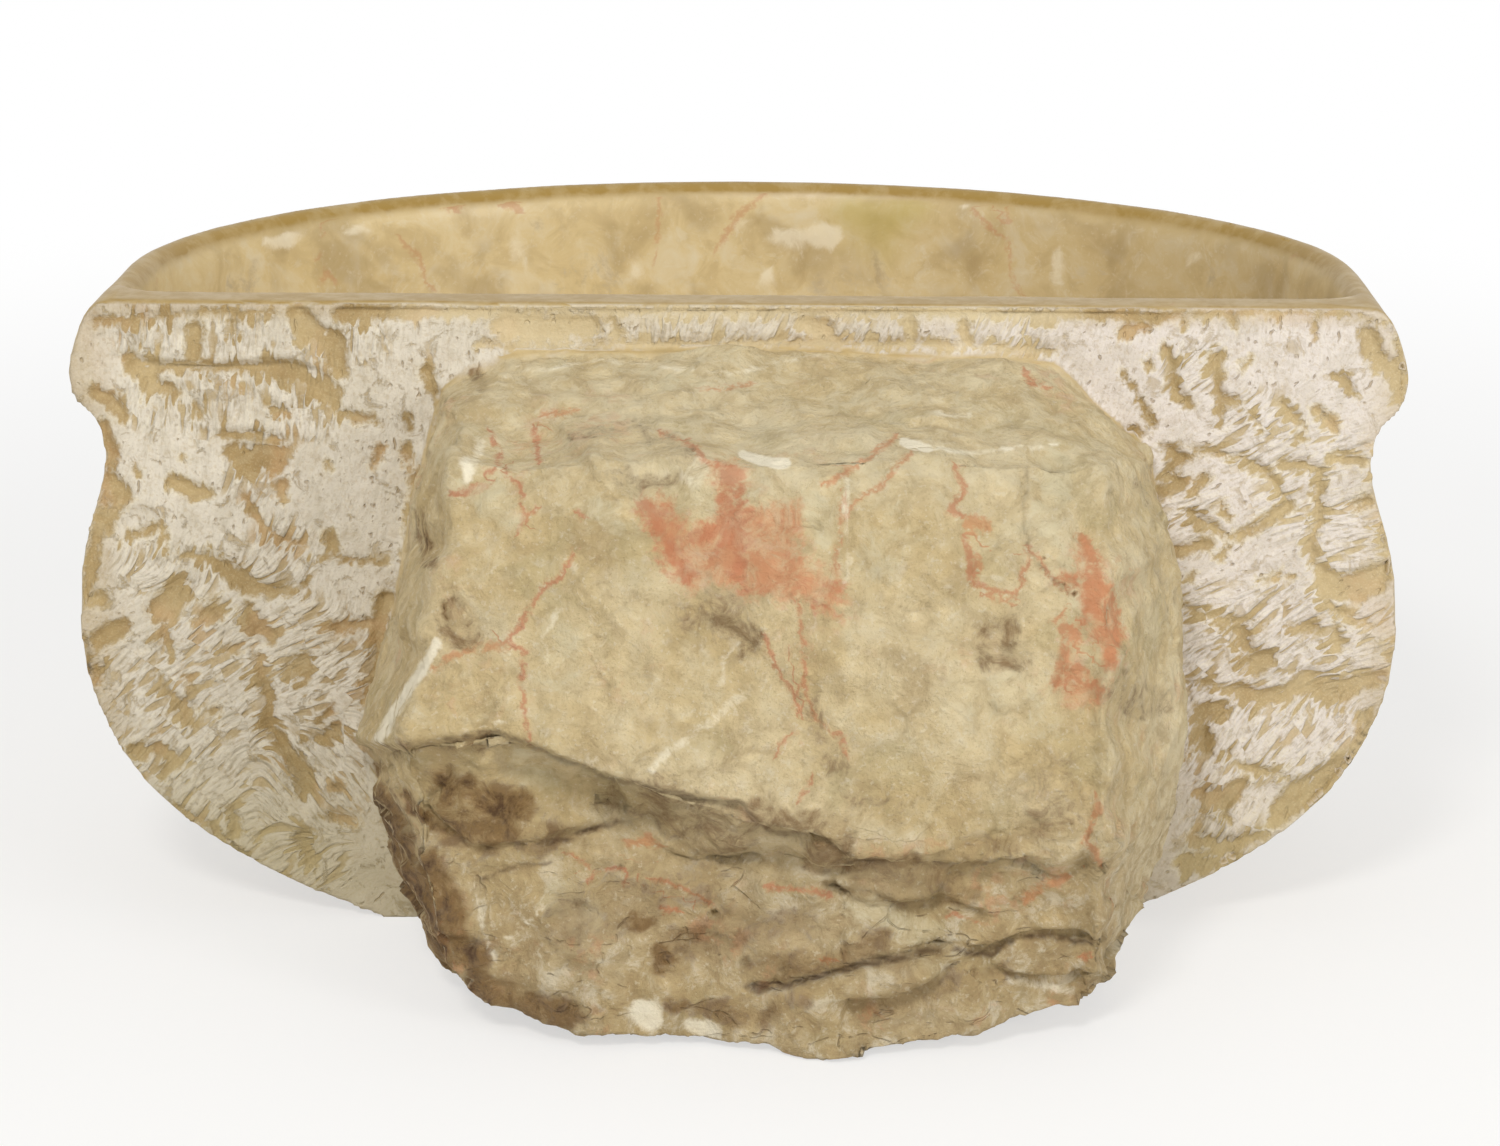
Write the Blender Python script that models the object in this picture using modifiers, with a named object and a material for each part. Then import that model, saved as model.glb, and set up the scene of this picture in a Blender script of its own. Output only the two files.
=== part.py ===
import math

import bmesh
import bpy
from mathutils import Matrix, Vector, noise

# The stone. +Z is up, the bow front faces -Y and the rough tail stands out of
# the back face towards +Y. The origin is on the ground, under the middle of
# the back face. All sizes are in metres.
FONT_WIDTH = 0.710  # roll to roll, across the back face
FONT_HEIGHT = 0.347
FONT_DEPTH = 0.394  # back face to the roll at the middle of the front
SIDE_RUN = 0.109  # how far each side runs straight before it curves
BACK_WALL = 0.028
SIDE_WALL = 0.030  # under the rim
RIM_LIP = 0.011  # how far the rim's inner edge is rounded back
RIM_LIP_DROP = 0.019
FLOOR_THICKNESS = 0.095
INNER_CORNER = 0.022  # fillet between the back wall and the rest of the hollow
BODY_STEPS = 40
HOLLOW_STEPS = 32
CORNER_SEGMENTS = 4

# The outer side, from the rim's land down to the foot: shares of the half
# width and of the height. A roll, a hollow neck, a full belly and a small foot.
OUTER_SHARES = (
    (0.930, 1.000),
    (0.954, 0.995),
    (0.972, 0.975),
    (0.987, 0.940),
    (0.997, 0.905),
    (1.000, 0.885),
    (0.995, 0.858),
    (0.983, 0.838),
    (0.966, 0.820),
    (0.955, 0.795),
    (0.950, 0.760),
    (0.953, 0.730),
    (0.964, 0.690),
    (0.981, 0.635),
    (0.994, 0.575),
    (1.000, 0.500),
    (1.000, 0.455),
    (0.993, 0.400),
    (0.975, 0.340),
    (0.945, 0.275),
    (0.900, 0.210),
    (0.835, 0.150),
    (0.755, 0.095),
    (0.660, 0.045),
    (0.575, 0.010),
    (0.555, 0.000),
)

# The rim's rounded inner edge, carried on above the rim for the cut: shares of
# its width and of its drop.
LIP_SHARES = (
    (2.200, -2.600),
    (2.200, -0.400),
    (1.000, 0.000),
    (0.500, 0.160),
    (0.180, 0.450),
    (0.000, 1.000),
)

# The hollow's side, from the lip down to the floor: shares of the hollow's
# half width and of its depth.
HOLLOW_SHARES = (
    (1.000, 0.150),
    (0.992, 0.300),
    (0.976, 0.450),
    (0.945, 0.600),
    (0.895, 0.730),
    (0.815, 0.845),
    (0.700, 0.930),
    (0.540, 0.980),
    (0.360, 1.000),
)

# The tail: a rough block of the same stone, left to be built into a wall.
TAIL_WIDTH = 0.430
TAIL_REACH = 0.192
TAIL_ROOT = 0.010  # how deep its cage runs into the back wall
TAIL_DIP = 0.030  # how far its cage runs below the ground before it is cut
TAIL_CUTS = 3
TAIL_ROUGHNESS = 0.0035
TAIL_GRAIN = 0.030  # size of the lumps on the broken faces

# Rows of the tail's cage, from its top to its toe. Each point gives across,
# out and up, as shares of the tail's width, its reach and the font's height.
# Across runs from left to right for someone who faces the back.
TAIL_ROW_SHARES = (
    (
        (-0.314, 0.015, 0.916),
        (-0.267, 0.031, 0.928),
        (-0.140, 0.042, 0.928),
        (0.000, 0.042, 0.931),
        (0.140, 0.042, 0.928),
        (0.302, 0.042, 0.925),
        (0.384, 0.031, 0.916),
    ),
    (
        (-0.349, 0.156, 0.873),
        (-0.302, 0.286, 0.882),
        (-0.163, 0.312, 0.890),
        (-0.012, 0.312, 0.896),
        (0.140, 0.312, 0.893),
        (0.330, 0.302, 0.888),
        (0.420, 0.182, 0.870),
    ),
    (
        (-0.363, 0.312, 0.798),
        (-0.319, 0.615, 0.842),
        (-0.163, 0.667, 0.853),
        (-0.012, 0.677, 0.856),
        (0.151, 0.667, 0.856),
        (0.433, 0.547, 0.836),
        (0.495, 0.260, 0.801),
    ),
    (
        (-0.377, 0.391, 0.686),
        (-0.328, 0.771, 0.706),
        (-0.163, 0.823, 0.715),
        (-0.012, 0.812, 0.720),
        (0.151, 0.823, 0.715),
        (0.442, 0.729, 0.700),
        (0.512, 0.339, 0.683),
    ),
    (
        (-0.400, 0.443, 0.542),
        (-0.344, 0.875, 0.576),
        (-0.174, 0.917, 0.576),
        (-0.012, 0.896, 0.591),
        (0.151, 0.917, 0.576),
        (0.444, 0.833, 0.562),
        (0.533, 0.375, 0.542),
    ),
    (
        (-0.447, 0.495, 0.369),
        (-0.381, 0.927, 0.455),
        (-0.233, 0.979, 0.473),
        (-0.070, 0.990, 0.398),
        (0.140, 0.990, 0.323),
        (0.437, 0.927, 0.311),
        (0.549, 0.391, 0.346),
    ),
    (
        (-0.447, 0.443, 0.288),
        (-0.377, 0.833, 0.380),
        (-0.221, 0.844, 0.392),
        (-0.058, 0.854, 0.323),
        (0.140, 0.906, 0.265),
        (0.433, 0.896, 0.259),
        (0.540, 0.365, 0.259),
    ),
    (
        (-0.418, 0.443, 0.173),
        (-0.358, 0.823, 0.207),
        (-0.209, 0.875, 0.202),
        (-0.035, 0.896, 0.184),
        (0.140, 0.927, 0.161),
        (0.442, 0.865, 0.159),
        (0.500, 0.365, 0.144),
    ),
    (
        (-0.349, 0.573, 0.055),
        (-0.288, 0.833, 0.050),
        (-0.150, 0.930, 0.020),
        (-0.012, 0.885, 0.017),
        (0.133, 1.000, 0.000),
        (0.436, 0.815, 0.055),
        (0.468, 0.610, 0.055),
    ),
)

# Where each row meets the back face, at its left and right: across and up.
TAIL_LEFT_SHARES = (
    (-0.349, 0.899),
    (-0.372, 0.865),
    (-0.386, 0.778),
    (-0.409, 0.677),
    (-0.428, 0.533),
    (-0.472, 0.340),
    (-0.470, 0.274),
    (-0.447, 0.159),
    (-0.414, 0.035),
)
TAIL_RIGHT_SHARES = (
    (0.414, 0.899),
    (0.449, 0.850),
    (0.512, 0.772),
    (0.528, 0.663),
    (0.548, 0.519),
    (0.563, 0.346),
    (0.555, 0.259),
    (0.516, 0.130),
    (0.480, 0.029),
)

# The outlet in the floor of the bowl. Nothing of it shows from outside.
OUTLET_SHARE = 0.42  # its place, as a share of the depth from the back face
TUBE_RADIUS = 0.0220
TUBE_BORE = 0.0165
TUBE_PLAY = 0.0010  # between the tube and the stone
FLANGE_RADIUS = 0.0350
FLANGE_THICKNESS = 0.0045
FLANGE_EASE = 0.0010  # chamfer of its upper edge
WASHER_THICKNESS = 0.0030
WASHER_WIDTH = 0.0110
REBATE_PLAY = 0.0015
RECESS_RADIUS = 0.0450  # the recess under the foot that holds the back nut
RECESS_DEPTH = 0.0280
TAIL_PIPE_RISE = 0.0020  # the tube stops this far above the ground
NUT_ACROSS_FLATS = 0.0600
NUT_THICKNESS = 0.0120
NUT_EASE = 0.0010
NUT_SIDES = 6
SEAT_RADIUS = 0.0195  # the mouth of the tapered seat for the plug
SEAT_DEPTH = 0.0120
GAP = 0.0003  # between pieces that bear on each other
OVERRUN = 0.0100  # how far each cutter runs past what it cuts
TURNED_STEPS = 48

# The plug and its ring.
EYE_WIDTH = 0.0110
EYE_THICKNESS = 0.0040
EYE_HOLE = 0.0026  # radius
EYE_LIP = 0.0032  # metal above the hole
EYE_RISE = 0.0042  # the hole's centre above the plug's top
EYE_SINK = 0.0030
EYE_SEGMENTS = 6
EYE_HOLE_STEPS = 24
RING_RADIUS = 0.0110  # to the middle of the wire
WIRE_RADIUS = 0.0015
RING_STEPS = 48
WIRE_STEPS = 12

HALF_WIDTH = FONT_WIDTH / 2
FLOOR_LEVEL = FLOOR_THICKNESS
OUTLET_Y = -OUTLET_SHARE * FONT_DEPTH
MERGE = 0.0001

for old in list(bpy.data.objects):
    bpy.data.objects.remove(old, do_unlink=True)

parts = bpy.data.collections.new("Wall font")
cutters = bpy.data.collections.new("Cutters")
bpy.context.scene.collection.children.link(parts)
bpy.context.scene.collection.children.link(cutters)


def material(name, colour, roughness, metallic=0.0):
    made = bpy.data.materials.new(name)
    made.use_nodes = True
    shader = made.node_tree.nodes["Principled BSDF"]
    shader.inputs["Base Color"].default_value = (*colour, 1.0)
    shader.inputs["Roughness"].default_value = roughness
    shader.inputs["Metallic"].default_value = metallic
    return made


def object_of(name, mesh, collection=cutters):
    obj = bpy.data.objects.new(name, mesh)
    collection.objects.link(obj)
    if collection is cutters:
        obj.hide_render = True
        obj.display_type = "WIRE"
    return obj


def mesh_from(bm, name):
    bmesh.ops.recalc_face_normals(bm, faces=bm.faces[:])
    mesh = bpy.data.meshes.new(name)
    bm.to_mesh(mesh)
    bm.free()
    return mesh


def profile_mesh(name, outline, is_ring):
    """A line of (radius, height) points at +X, closed on itself for a ring."""
    mesh = bpy.data.meshes.new(name)
    points = [(radius, 0.0, height) for radius, height in outline]
    edges = [(i, i + 1) for i in range(len(points) - 1)]
    if is_ring:
        edges.append((len(points) - 1, 0))
    mesh.from_pydata(points, edges, [])
    return mesh


def turned(name, outline, is_ring=False, collection=cutters, angle=math.tau, steps=TURNED_STEPS):
    """A turned piece from an outline that runs down its outer side."""
    obj = object_of(name, profile_mesh(name, outline, is_ring), collection)
    screw = obj.modifiers.new("Turn", "SCREW")
    screw.angle = angle
    screw.steps = steps
    screw.render_steps = steps
    screw.use_merge_vertices = True
    screw.merge_threshold = MERGE
    screw.use_smooth_shade = True
    return obj


def evaluated_mesh(obj):
    """The object's mesh after its modifiers, in its own frame."""
    bpy.context.view_layer.update()
    graph = bpy.context.evaluated_depsgraph_get()
    return bpy.data.meshes.new_from_object(obj.evaluated_get(graph))


def half_round(name, outline, front_depth, run, back_y, steps):
    """A half-turned shape, pressed to its front depth and carried back."""
    guide = turned(name + " guide", outline, angle=-math.pi, steps=steps)
    bm = bmesh.new()
    bm.from_mesh(evaluated_mesh(guide))
    bpy.data.objects.remove(guide, do_unlink=True)
    bmesh.ops.remove_doubles(bm, verts=bm.verts[:], dist=MERGE)
    widest = max(vert.co.x for vert in bm.verts)
    for vert in bm.verts:
        vert.co.y = vert.co.y * (front_depth - run) / widest - run + back_y
    rim = [edge for edge in bm.edges if edge.is_boundary]
    carried = bmesh.ops.extrude_edge_only(bm, edges=rim)["geom"]
    ends = [item for item in carried if isinstance(item, bmesh.types.BMVert)]
    bmesh.ops.translate(bm, verts=ends, vec=(0.0, run, 0.0))
    bmesh.ops.edgenet_fill(bm, edges=[edge for edge in bm.edges if edge.is_boundary])
    return object_of(name, mesh_from(bm, name))


def boolean(obj, other, operation="DIFFERENCE"):
    cut = obj.modifiers.new(other.name, "BOOLEAN")
    cut.operation = operation
    cut.object = other


def smooth(obj, angle=math.radians(32)):
    obj.data.shade_smooth()
    obj.data.set_sharp_from_angle(angle=angle)


# The stone's outer shape, carried below the ground to be cut flat there
side = [(HALF_WIDTH * across, FONT_HEIGHT * up) for across, up in OUTER_SHARES]
foot_radius = side[-1][0]
outline = [(0.0, FONT_HEIGHT), *side, (foot_radius, -OVERRUN), (0.0, -OVERRUN)]
stone_body = half_round("Stone outside", outline, FONT_DEPTH, SIDE_RUN, 0.0, BODY_STEPS)

# The hollow of the bowl, its back wall run into its sides and floor by a fillet
hollow_width = HALF_WIDTH - SIDE_WALL
hollow_depth = FONT_HEIGHT - FLOOR_LEVEL
side = [(hollow_width + RIM_LIP * across, FONT_HEIGHT - RIM_LIP_DROP * down) for across, down in LIP_SHARES]
side += [(hollow_width * across, FONT_HEIGHT - hollow_depth * down) for across, down in HOLLOW_SHARES]
outline = [(0.0, side[0][1]), *side, (0.0, FLOOR_LEVEL)]
hollow_run = SIDE_RUN - BACK_WALL
# The hollow's wall stands SIDE_WALL inside the roll at the front too
press = (FONT_DEPTH - SIDE_WALL - SIDE_RUN) / hollow_width
mouth_depth = hollow_run + side[0][0] * press
hollow = half_round("Hollow", outline, mouth_depth, hollow_run, -BACK_WALL, HOLLOW_STEPS)
bm = bmesh.new()
bm.from_mesh(hollow.data)
back_edges = [
    edge
    for edge in bm.edges
    if all(abs(vert.co.y + BACK_WALL) < MERGE for vert in edge.verts)
]
bmesh.ops.bevel(
    bm,
    geom=back_edges,
    offset=INNER_CORNER,
    segments=CORNER_SEGMENTS,
    profile=0.5,
    affect="EDGES",
    clamp_overlap=True,
)
bm.to_mesh(hollow.data)
bm.free()


# The tail's cage: its rows, closed into the back wall all round
def tail_point(across, out, up):
    return Vector((-across * TAIL_WIDTH, out, up * FONT_HEIGHT))


def tail_rows():
    rows = []
    for left, row, right in zip(TAIL_LEFT_SHARES, TAIL_ROW_SHARES, TAIL_RIGHT_SHARES):
        points = [tail_point(left[0], -TAIL_ROOT, left[1])]
        points += [tail_point(across, out * TAIL_REACH, up) for across, out, up in row]
        points.append(tail_point(right[0], -TAIL_ROOT, right[1]))
        rows.append(points)
    top = [Vector((point.x, -TAIL_ROOT, point.z)) for point in rows[0]]
    dip = Vector((0.0, 0.0, -TAIL_DIP))
    toe = [Vector((point.x, -TAIL_ROOT, 0.0)) + dip for point in rows[-1]]
    return rows, top, toe


def roughened(bm):
    """Breaks the flat faces up: broken stone has lumps and hollows."""
    for vert in bm.verts:
        if vert.co.y <= 0.0:
            continue
        place = vert.co / TAIL_GRAIN
        push = Vector((noise.noise(place), noise.noise(place.yzx), noise.noise(place.zxy)))
        vert.co += push * TAIL_ROUGHNESS


def tail_block():
    """The cage's faces, divided and roughened, as one closed block."""
    rows, top, toe = tail_rows()
    bm = bmesh.new()
    grid = [[bm.verts.new(point) for point in row] for row in rows]
    for near, far in ((0, top), (-1, toe)):
        edge = [bm.verts.new(point) for point in far[1:-1]]
        edge = [grid[near][0], *edge, grid[near][-1]]
        grid = [edge, *grid] if near == 0 else [*grid, edge]
    for above, below in zip(grid, grid[1:]):
        for i in range(len(above) - 1):
            corners = (above[i], above[i + 1], below[i + 1], below[i])
            bm.faces.new(tuple(dict.fromkeys(corners)))
    bmesh.ops.edgenet_fill(bm, edges=[edge for edge in bm.edges if edge.is_boundary])
    divided = [edge for edge in bm.edges if max(vert.co.y for vert in edge.verts) > 0.0]
    bmesh.ops.subdivide_edges(bm, edges=divided, cuts=TAIL_CUTS, use_grid_fill=True)
    roughened(bm)
    return object_of("Tail", mesh_from(bm, "Tail"))


tail = tail_block()

# The outlet: a hole through the floor, a rebate for the flange above it and a
# recess for the nut below it
rebate_radius = FLANGE_RADIUS + REBATE_PLAY
rebate_level = FLOOR_LEVEL - FLANGE_THICKNESS - WASHER_THICKNESS - 2 * GAP
hole_radius = TUBE_RADIUS + TUBE_PLAY
outlet_hole = turned(
    "Outlet hole",
    [
        (0.0, FLOOR_LEVEL + OVERRUN),
        (rebate_radius, FLOOR_LEVEL + OVERRUN),
        (rebate_radius, rebate_level),
        (hole_radius, rebate_level),
        (hole_radius, RECESS_DEPTH),
        (RECESS_RADIUS, RECESS_DEPTH),
        (RECESS_RADIUS, -OVERRUN),
        (0.0, -OVERRUN),
    ],
)
outlet_hole.location.y = OUTLET_Y

# Everything below the ground is cut away
bm = bmesh.new()
reach = FONT_WIDTH + FONT_DEPTH + TAIL_REACH
bmesh.ops.create_cube(bm, size=1.0)
bmesh.ops.scale(bm, vec=(reach, reach, TAIL_DIP + OVERRUN), verts=bm.verts[:])
bmesh.ops.translate(bm, vec=(0.0, 0.0, -(TAIL_DIP + OVERRUN) / 2), verts=bm.verts[:])
ground = object_of("Ground", mesh_from(bm, "Ground"))

marble = material("Marble", (0.60, 0.49, 0.29), 0.62)
brass = material("Brass", (0.62, 0.44, 0.20), 0.34, 1.0)
rubber = material("Rubber", (0.03, 0.03, 0.03), 0.80)

stone = object_of("font_stone", stone_body.data.copy(), parts)
bpy.data.objects.remove(stone_body, do_unlink=True)
boolean(stone, tail, "UNION")
boolean(stone, hollow)
boolean(stone, outlet_hole)
boolean(stone, ground)
smooth(stone)
stone.data.materials.append(marble)


# The waste: an empty at the mouth of the outlet carries its pieces
outlet = bpy.data.objects.new("Outlet", None)
outlet.location = (0.0, OUTLET_Y, FLOOR_LEVEL)
parts.objects.link(outlet)


def fitting(name, outline, finish, is_ring=True, parent=outlet):
    """A turned piece of the waste, its heights counted from the bowl's floor."""
    obj = turned(name, outline, is_ring, parts)
    obj.parent = parent
    obj.data.materials.append(finish)
    return obj


flange_level = -FLANGE_THICKNESS
washer_level = flange_level - GAP - WASHER_THICKNESS
tube_end = TAIL_PIPE_RISE - FLOOR_LEVEL
recess_level = RECESS_DEPTH - FLOOR_LEVEL
nut_top = recess_level - 2 * GAP - WASHER_THICKNESS
seat_slope = (SEAT_RADIUS - TUBE_BORE) / SEAT_DEPTH

waste_body = fitting(
    "waste_body",
    [
        (FLANGE_RADIUS - FLANGE_EASE, 0.0),
        (FLANGE_RADIUS, -FLANGE_EASE),
        (FLANGE_RADIUS, flange_level),
        (TUBE_RADIUS, flange_level),
        (TUBE_RADIUS, tube_end),
        (TUBE_BORE, tube_end),
        (TUBE_BORE, -SEAT_DEPTH),
        (SEAT_RADIUS, 0.0),
    ],
    brass,
)
washer_bore = TUBE_RADIUS + GAP
flange_washer = fitting(
    "flange_washer",
    [
        (washer_bore + WASHER_WIDTH, flange_level - GAP),
        (washer_bore + WASHER_WIDTH, washer_level),
        (washer_bore, washer_level),
        (washer_bore, flange_level - GAP),
    ],
    rubber,
)
nut_washer = fitting(
    "nut_washer",
    [
        (washer_bore + WASHER_WIDTH, recess_level - GAP),
        (washer_bore + WASHER_WIDTH, recess_level - GAP - WASHER_THICKNESS),
        (washer_bore, recess_level - GAP - WASHER_THICKNESS),
        (washer_bore, recess_level - GAP),
    ],
    rubber,
)


def prism(name, sides, radius, height, collection=cutters):
    """An upright prism about its own origin, or a cylinder if it has many sides."""
    bm = bmesh.new()
    bmesh.ops.create_cone(
        bm, cap_ends=True, segments=sides, radius1=radius, radius2=radius, depth=height
    )
    return object_of(name, mesh_from(bm, name), collection)


nut_radius = NUT_ACROSS_FLATS / 2 / math.cos(math.pi / NUT_SIDES)
back_nut = prism("back_nut", NUT_SIDES, nut_radius, NUT_THICKNESS, parts)
nut_bore = prism("Nut bore", TURNED_STEPS, TUBE_RADIUS + GAP, NUT_THICKNESS + OVERRUN)
for obj in (back_nut, nut_bore):
    obj.parent = outlet
    obj.location.z = nut_top - NUT_THICKNESS / 2
eased = back_nut.modifiers.new("Eased edges", "BEVEL")
eased.width = NUT_EASE
eased.segments = 1
boolean(back_nut, nut_bore)
back_nut.data.materials.append(brass)

# The plug fills the seat's taper. Its eye is a flat tab with a cross hole.
plug = fitting(
    "waste_plug",
    [(0.0, 0.0), (SEAT_RADIUS - GAP, 0.0), (TUBE_BORE - GAP, -SEAT_DEPTH), (0.0, -SEAT_DEPTH)],
    brass,
    is_ring=False,
)
eye_top = EYE_RISE + EYE_HOLE + EYE_LIP
bm = bmesh.new()
bmesh.ops.create_cube(bm, size=1.0)
bmesh.ops.scale(bm, vec=(EYE_THICKNESS, EYE_WIDTH, eye_top + EYE_SINK), verts=bm.verts[:])
bmesh.ops.translate(bm, vec=(0.0, 0.0, (eye_top - EYE_SINK) / 2), verts=bm.verts[:])
shoulders = [edge for edge in bm.edges if all(vert.co.z > 0 for vert in edge.verts)]
shoulders = [edge for edge in shoulders if abs(edge.verts[0].co.y - edge.verts[1].co.y) < MERGE]
bmesh.ops.bevel(
    bm,
    geom=shoulders,
    offset=EYE_WIDTH / 2 - EYE_THICKNESS / 4,
    segments=EYE_SEGMENTS,
    profile=0.5,
    affect="EDGES",
)
eye = object_of("Eye", mesh_from(bm, "Eye"))
eye_hole = prism("Eye hole", EYE_HOLE_STEPS, EYE_HOLE, EYE_THICKNESS + OVERRUN)
eye_hole.rotation_euler.y = math.pi / 2
eye_hole.location.z = EYE_RISE
for cutter in (eye, eye_hole):
    cutter.parent = plug
boolean(plug, eye, "UNION")
boolean(plug, eye_hole)

# The ring lies over the plug, its origin in the eye, on the axis it swings about
bpy.ops.mesh.primitive_torus_add(
    major_radius=RING_RADIUS,
    minor_radius=WIRE_RADIUS,
    major_segments=RING_STEPS,
    minor_segments=WIRE_STEPS,
)
ring = bpy.context.active_object
ring.name = "plug_ring"
for collection in list(ring.users_collection):
    collection.objects.unlink(ring)
parts.objects.link(ring)
ring.data.transform(Matrix.Translation((0.0, -RING_RADIUS, 0.0)))
ring.data.shade_smooth()
ring.data.materials.append(brass)
ring.parent = plug
ring.location.z = EYE_RISE
ring.rotation_euler.x = math.asin((EYE_RISE - WIRE_RADIUS - GAP) / (2 * RING_RADIUS))

for obj in (waste_body, flange_washer, nut_washer):
    smooth(obj)
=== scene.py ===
import math
from types import SimpleNamespace

import bmesh
import bpy
import numpy as np
from mathutils import Matrix, Vector, noise


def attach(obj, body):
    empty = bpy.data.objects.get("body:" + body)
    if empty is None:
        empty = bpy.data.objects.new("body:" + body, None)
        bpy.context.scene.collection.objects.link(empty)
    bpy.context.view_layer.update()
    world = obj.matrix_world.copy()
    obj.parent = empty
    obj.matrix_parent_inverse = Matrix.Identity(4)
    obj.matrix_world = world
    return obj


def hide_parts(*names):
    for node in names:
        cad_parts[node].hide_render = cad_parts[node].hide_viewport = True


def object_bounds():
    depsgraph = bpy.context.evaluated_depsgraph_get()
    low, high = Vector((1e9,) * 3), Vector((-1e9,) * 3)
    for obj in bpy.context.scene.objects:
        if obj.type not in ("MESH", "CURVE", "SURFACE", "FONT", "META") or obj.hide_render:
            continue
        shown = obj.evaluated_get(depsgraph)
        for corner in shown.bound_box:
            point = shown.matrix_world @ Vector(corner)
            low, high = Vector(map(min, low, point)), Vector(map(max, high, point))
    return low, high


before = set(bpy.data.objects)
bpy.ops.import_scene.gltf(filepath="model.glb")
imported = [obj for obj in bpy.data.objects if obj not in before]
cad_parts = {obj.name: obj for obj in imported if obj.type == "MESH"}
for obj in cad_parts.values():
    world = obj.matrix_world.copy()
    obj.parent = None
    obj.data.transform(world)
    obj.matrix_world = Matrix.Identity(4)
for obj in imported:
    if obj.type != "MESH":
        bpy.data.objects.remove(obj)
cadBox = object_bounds()
print("frame loaded:", sorted(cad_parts))

# camera: found from the outline of the rim, the back face and the foot
cameraLook = {
    "place": (-0.0447, 1.8, 0.726),
    "pitch": 16.28,  # degrees below level
    "yaw": -1.18,
    "roll": 0.13,
    "focal": 3492.0,  # in picture pixels
    "picture": (1500, 1146),
    "sensor": 36.0,
    "reach": 50.0,
    "pixel": 1 / 1850,  # metres that one picture pixel covers on the back face
}


def cameraAxes():
    # right, down and forward of the view, for a camera that looks along -Y
    pitch, yaw, roll = (math.radians(cameraLook[key]) for key in ("pitch", "yaw", "roll"))
    forward = Vector((math.sin(yaw) * math.cos(pitch), math.cos(yaw) * math.cos(pitch), -math.sin(pitch)))
    right = Vector((math.cos(yaw), -math.sin(yaw), 0.0))
    down = Vector((-math.sin(yaw) * math.sin(pitch), -math.cos(yaw) * math.sin(pitch), -math.cos(pitch)))
    turned = (
        math.cos(roll) * right - math.sin(roll) * down,
        math.sin(roll) * right + math.cos(roll) * down,
        forward,
    )
    return [Vector((-axis.x, -axis.y, axis.z)) for axis in turned]


def placeCamera():
    right, down, forward = cameraAxes()
    data = bpy.data.cameras.new("camera")
    data.sensor_width = cameraLook["sensor"]
    data.lens = cameraLook["focal"] / cameraLook["picture"][0] * cameraLook["sensor"]
    data.clip_end = cameraLook["reach"]
    camera = newObject("camera", data)
    turn = Matrix((right, -down, -forward)).transposed().to_4x4()
    camera.matrix_world = Matrix.Translation(cameraLook["place"]) @ turn
    bpy.context.scene.camera = camera


def seenAt(points):
    # picture position of each point, in pixels
    right, down, forward = (np.array(axis) for axis in cameraAxes())
    away = points - np.array(cameraLook["place"])
    scale = cameraLook["focal"] / (away @ forward)
    wide, high = cameraLook["picture"]
    return np.stack([wide / 2 + away @ right * scale, high / 2 + away @ down * scale], axis=1)


def newObject(name, data):
    made = bpy.data.objects.new(name, data)
    bpy.context.scene.collection.objects.link(made)
    return made


placeCamera()
print("camera placed")


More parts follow.
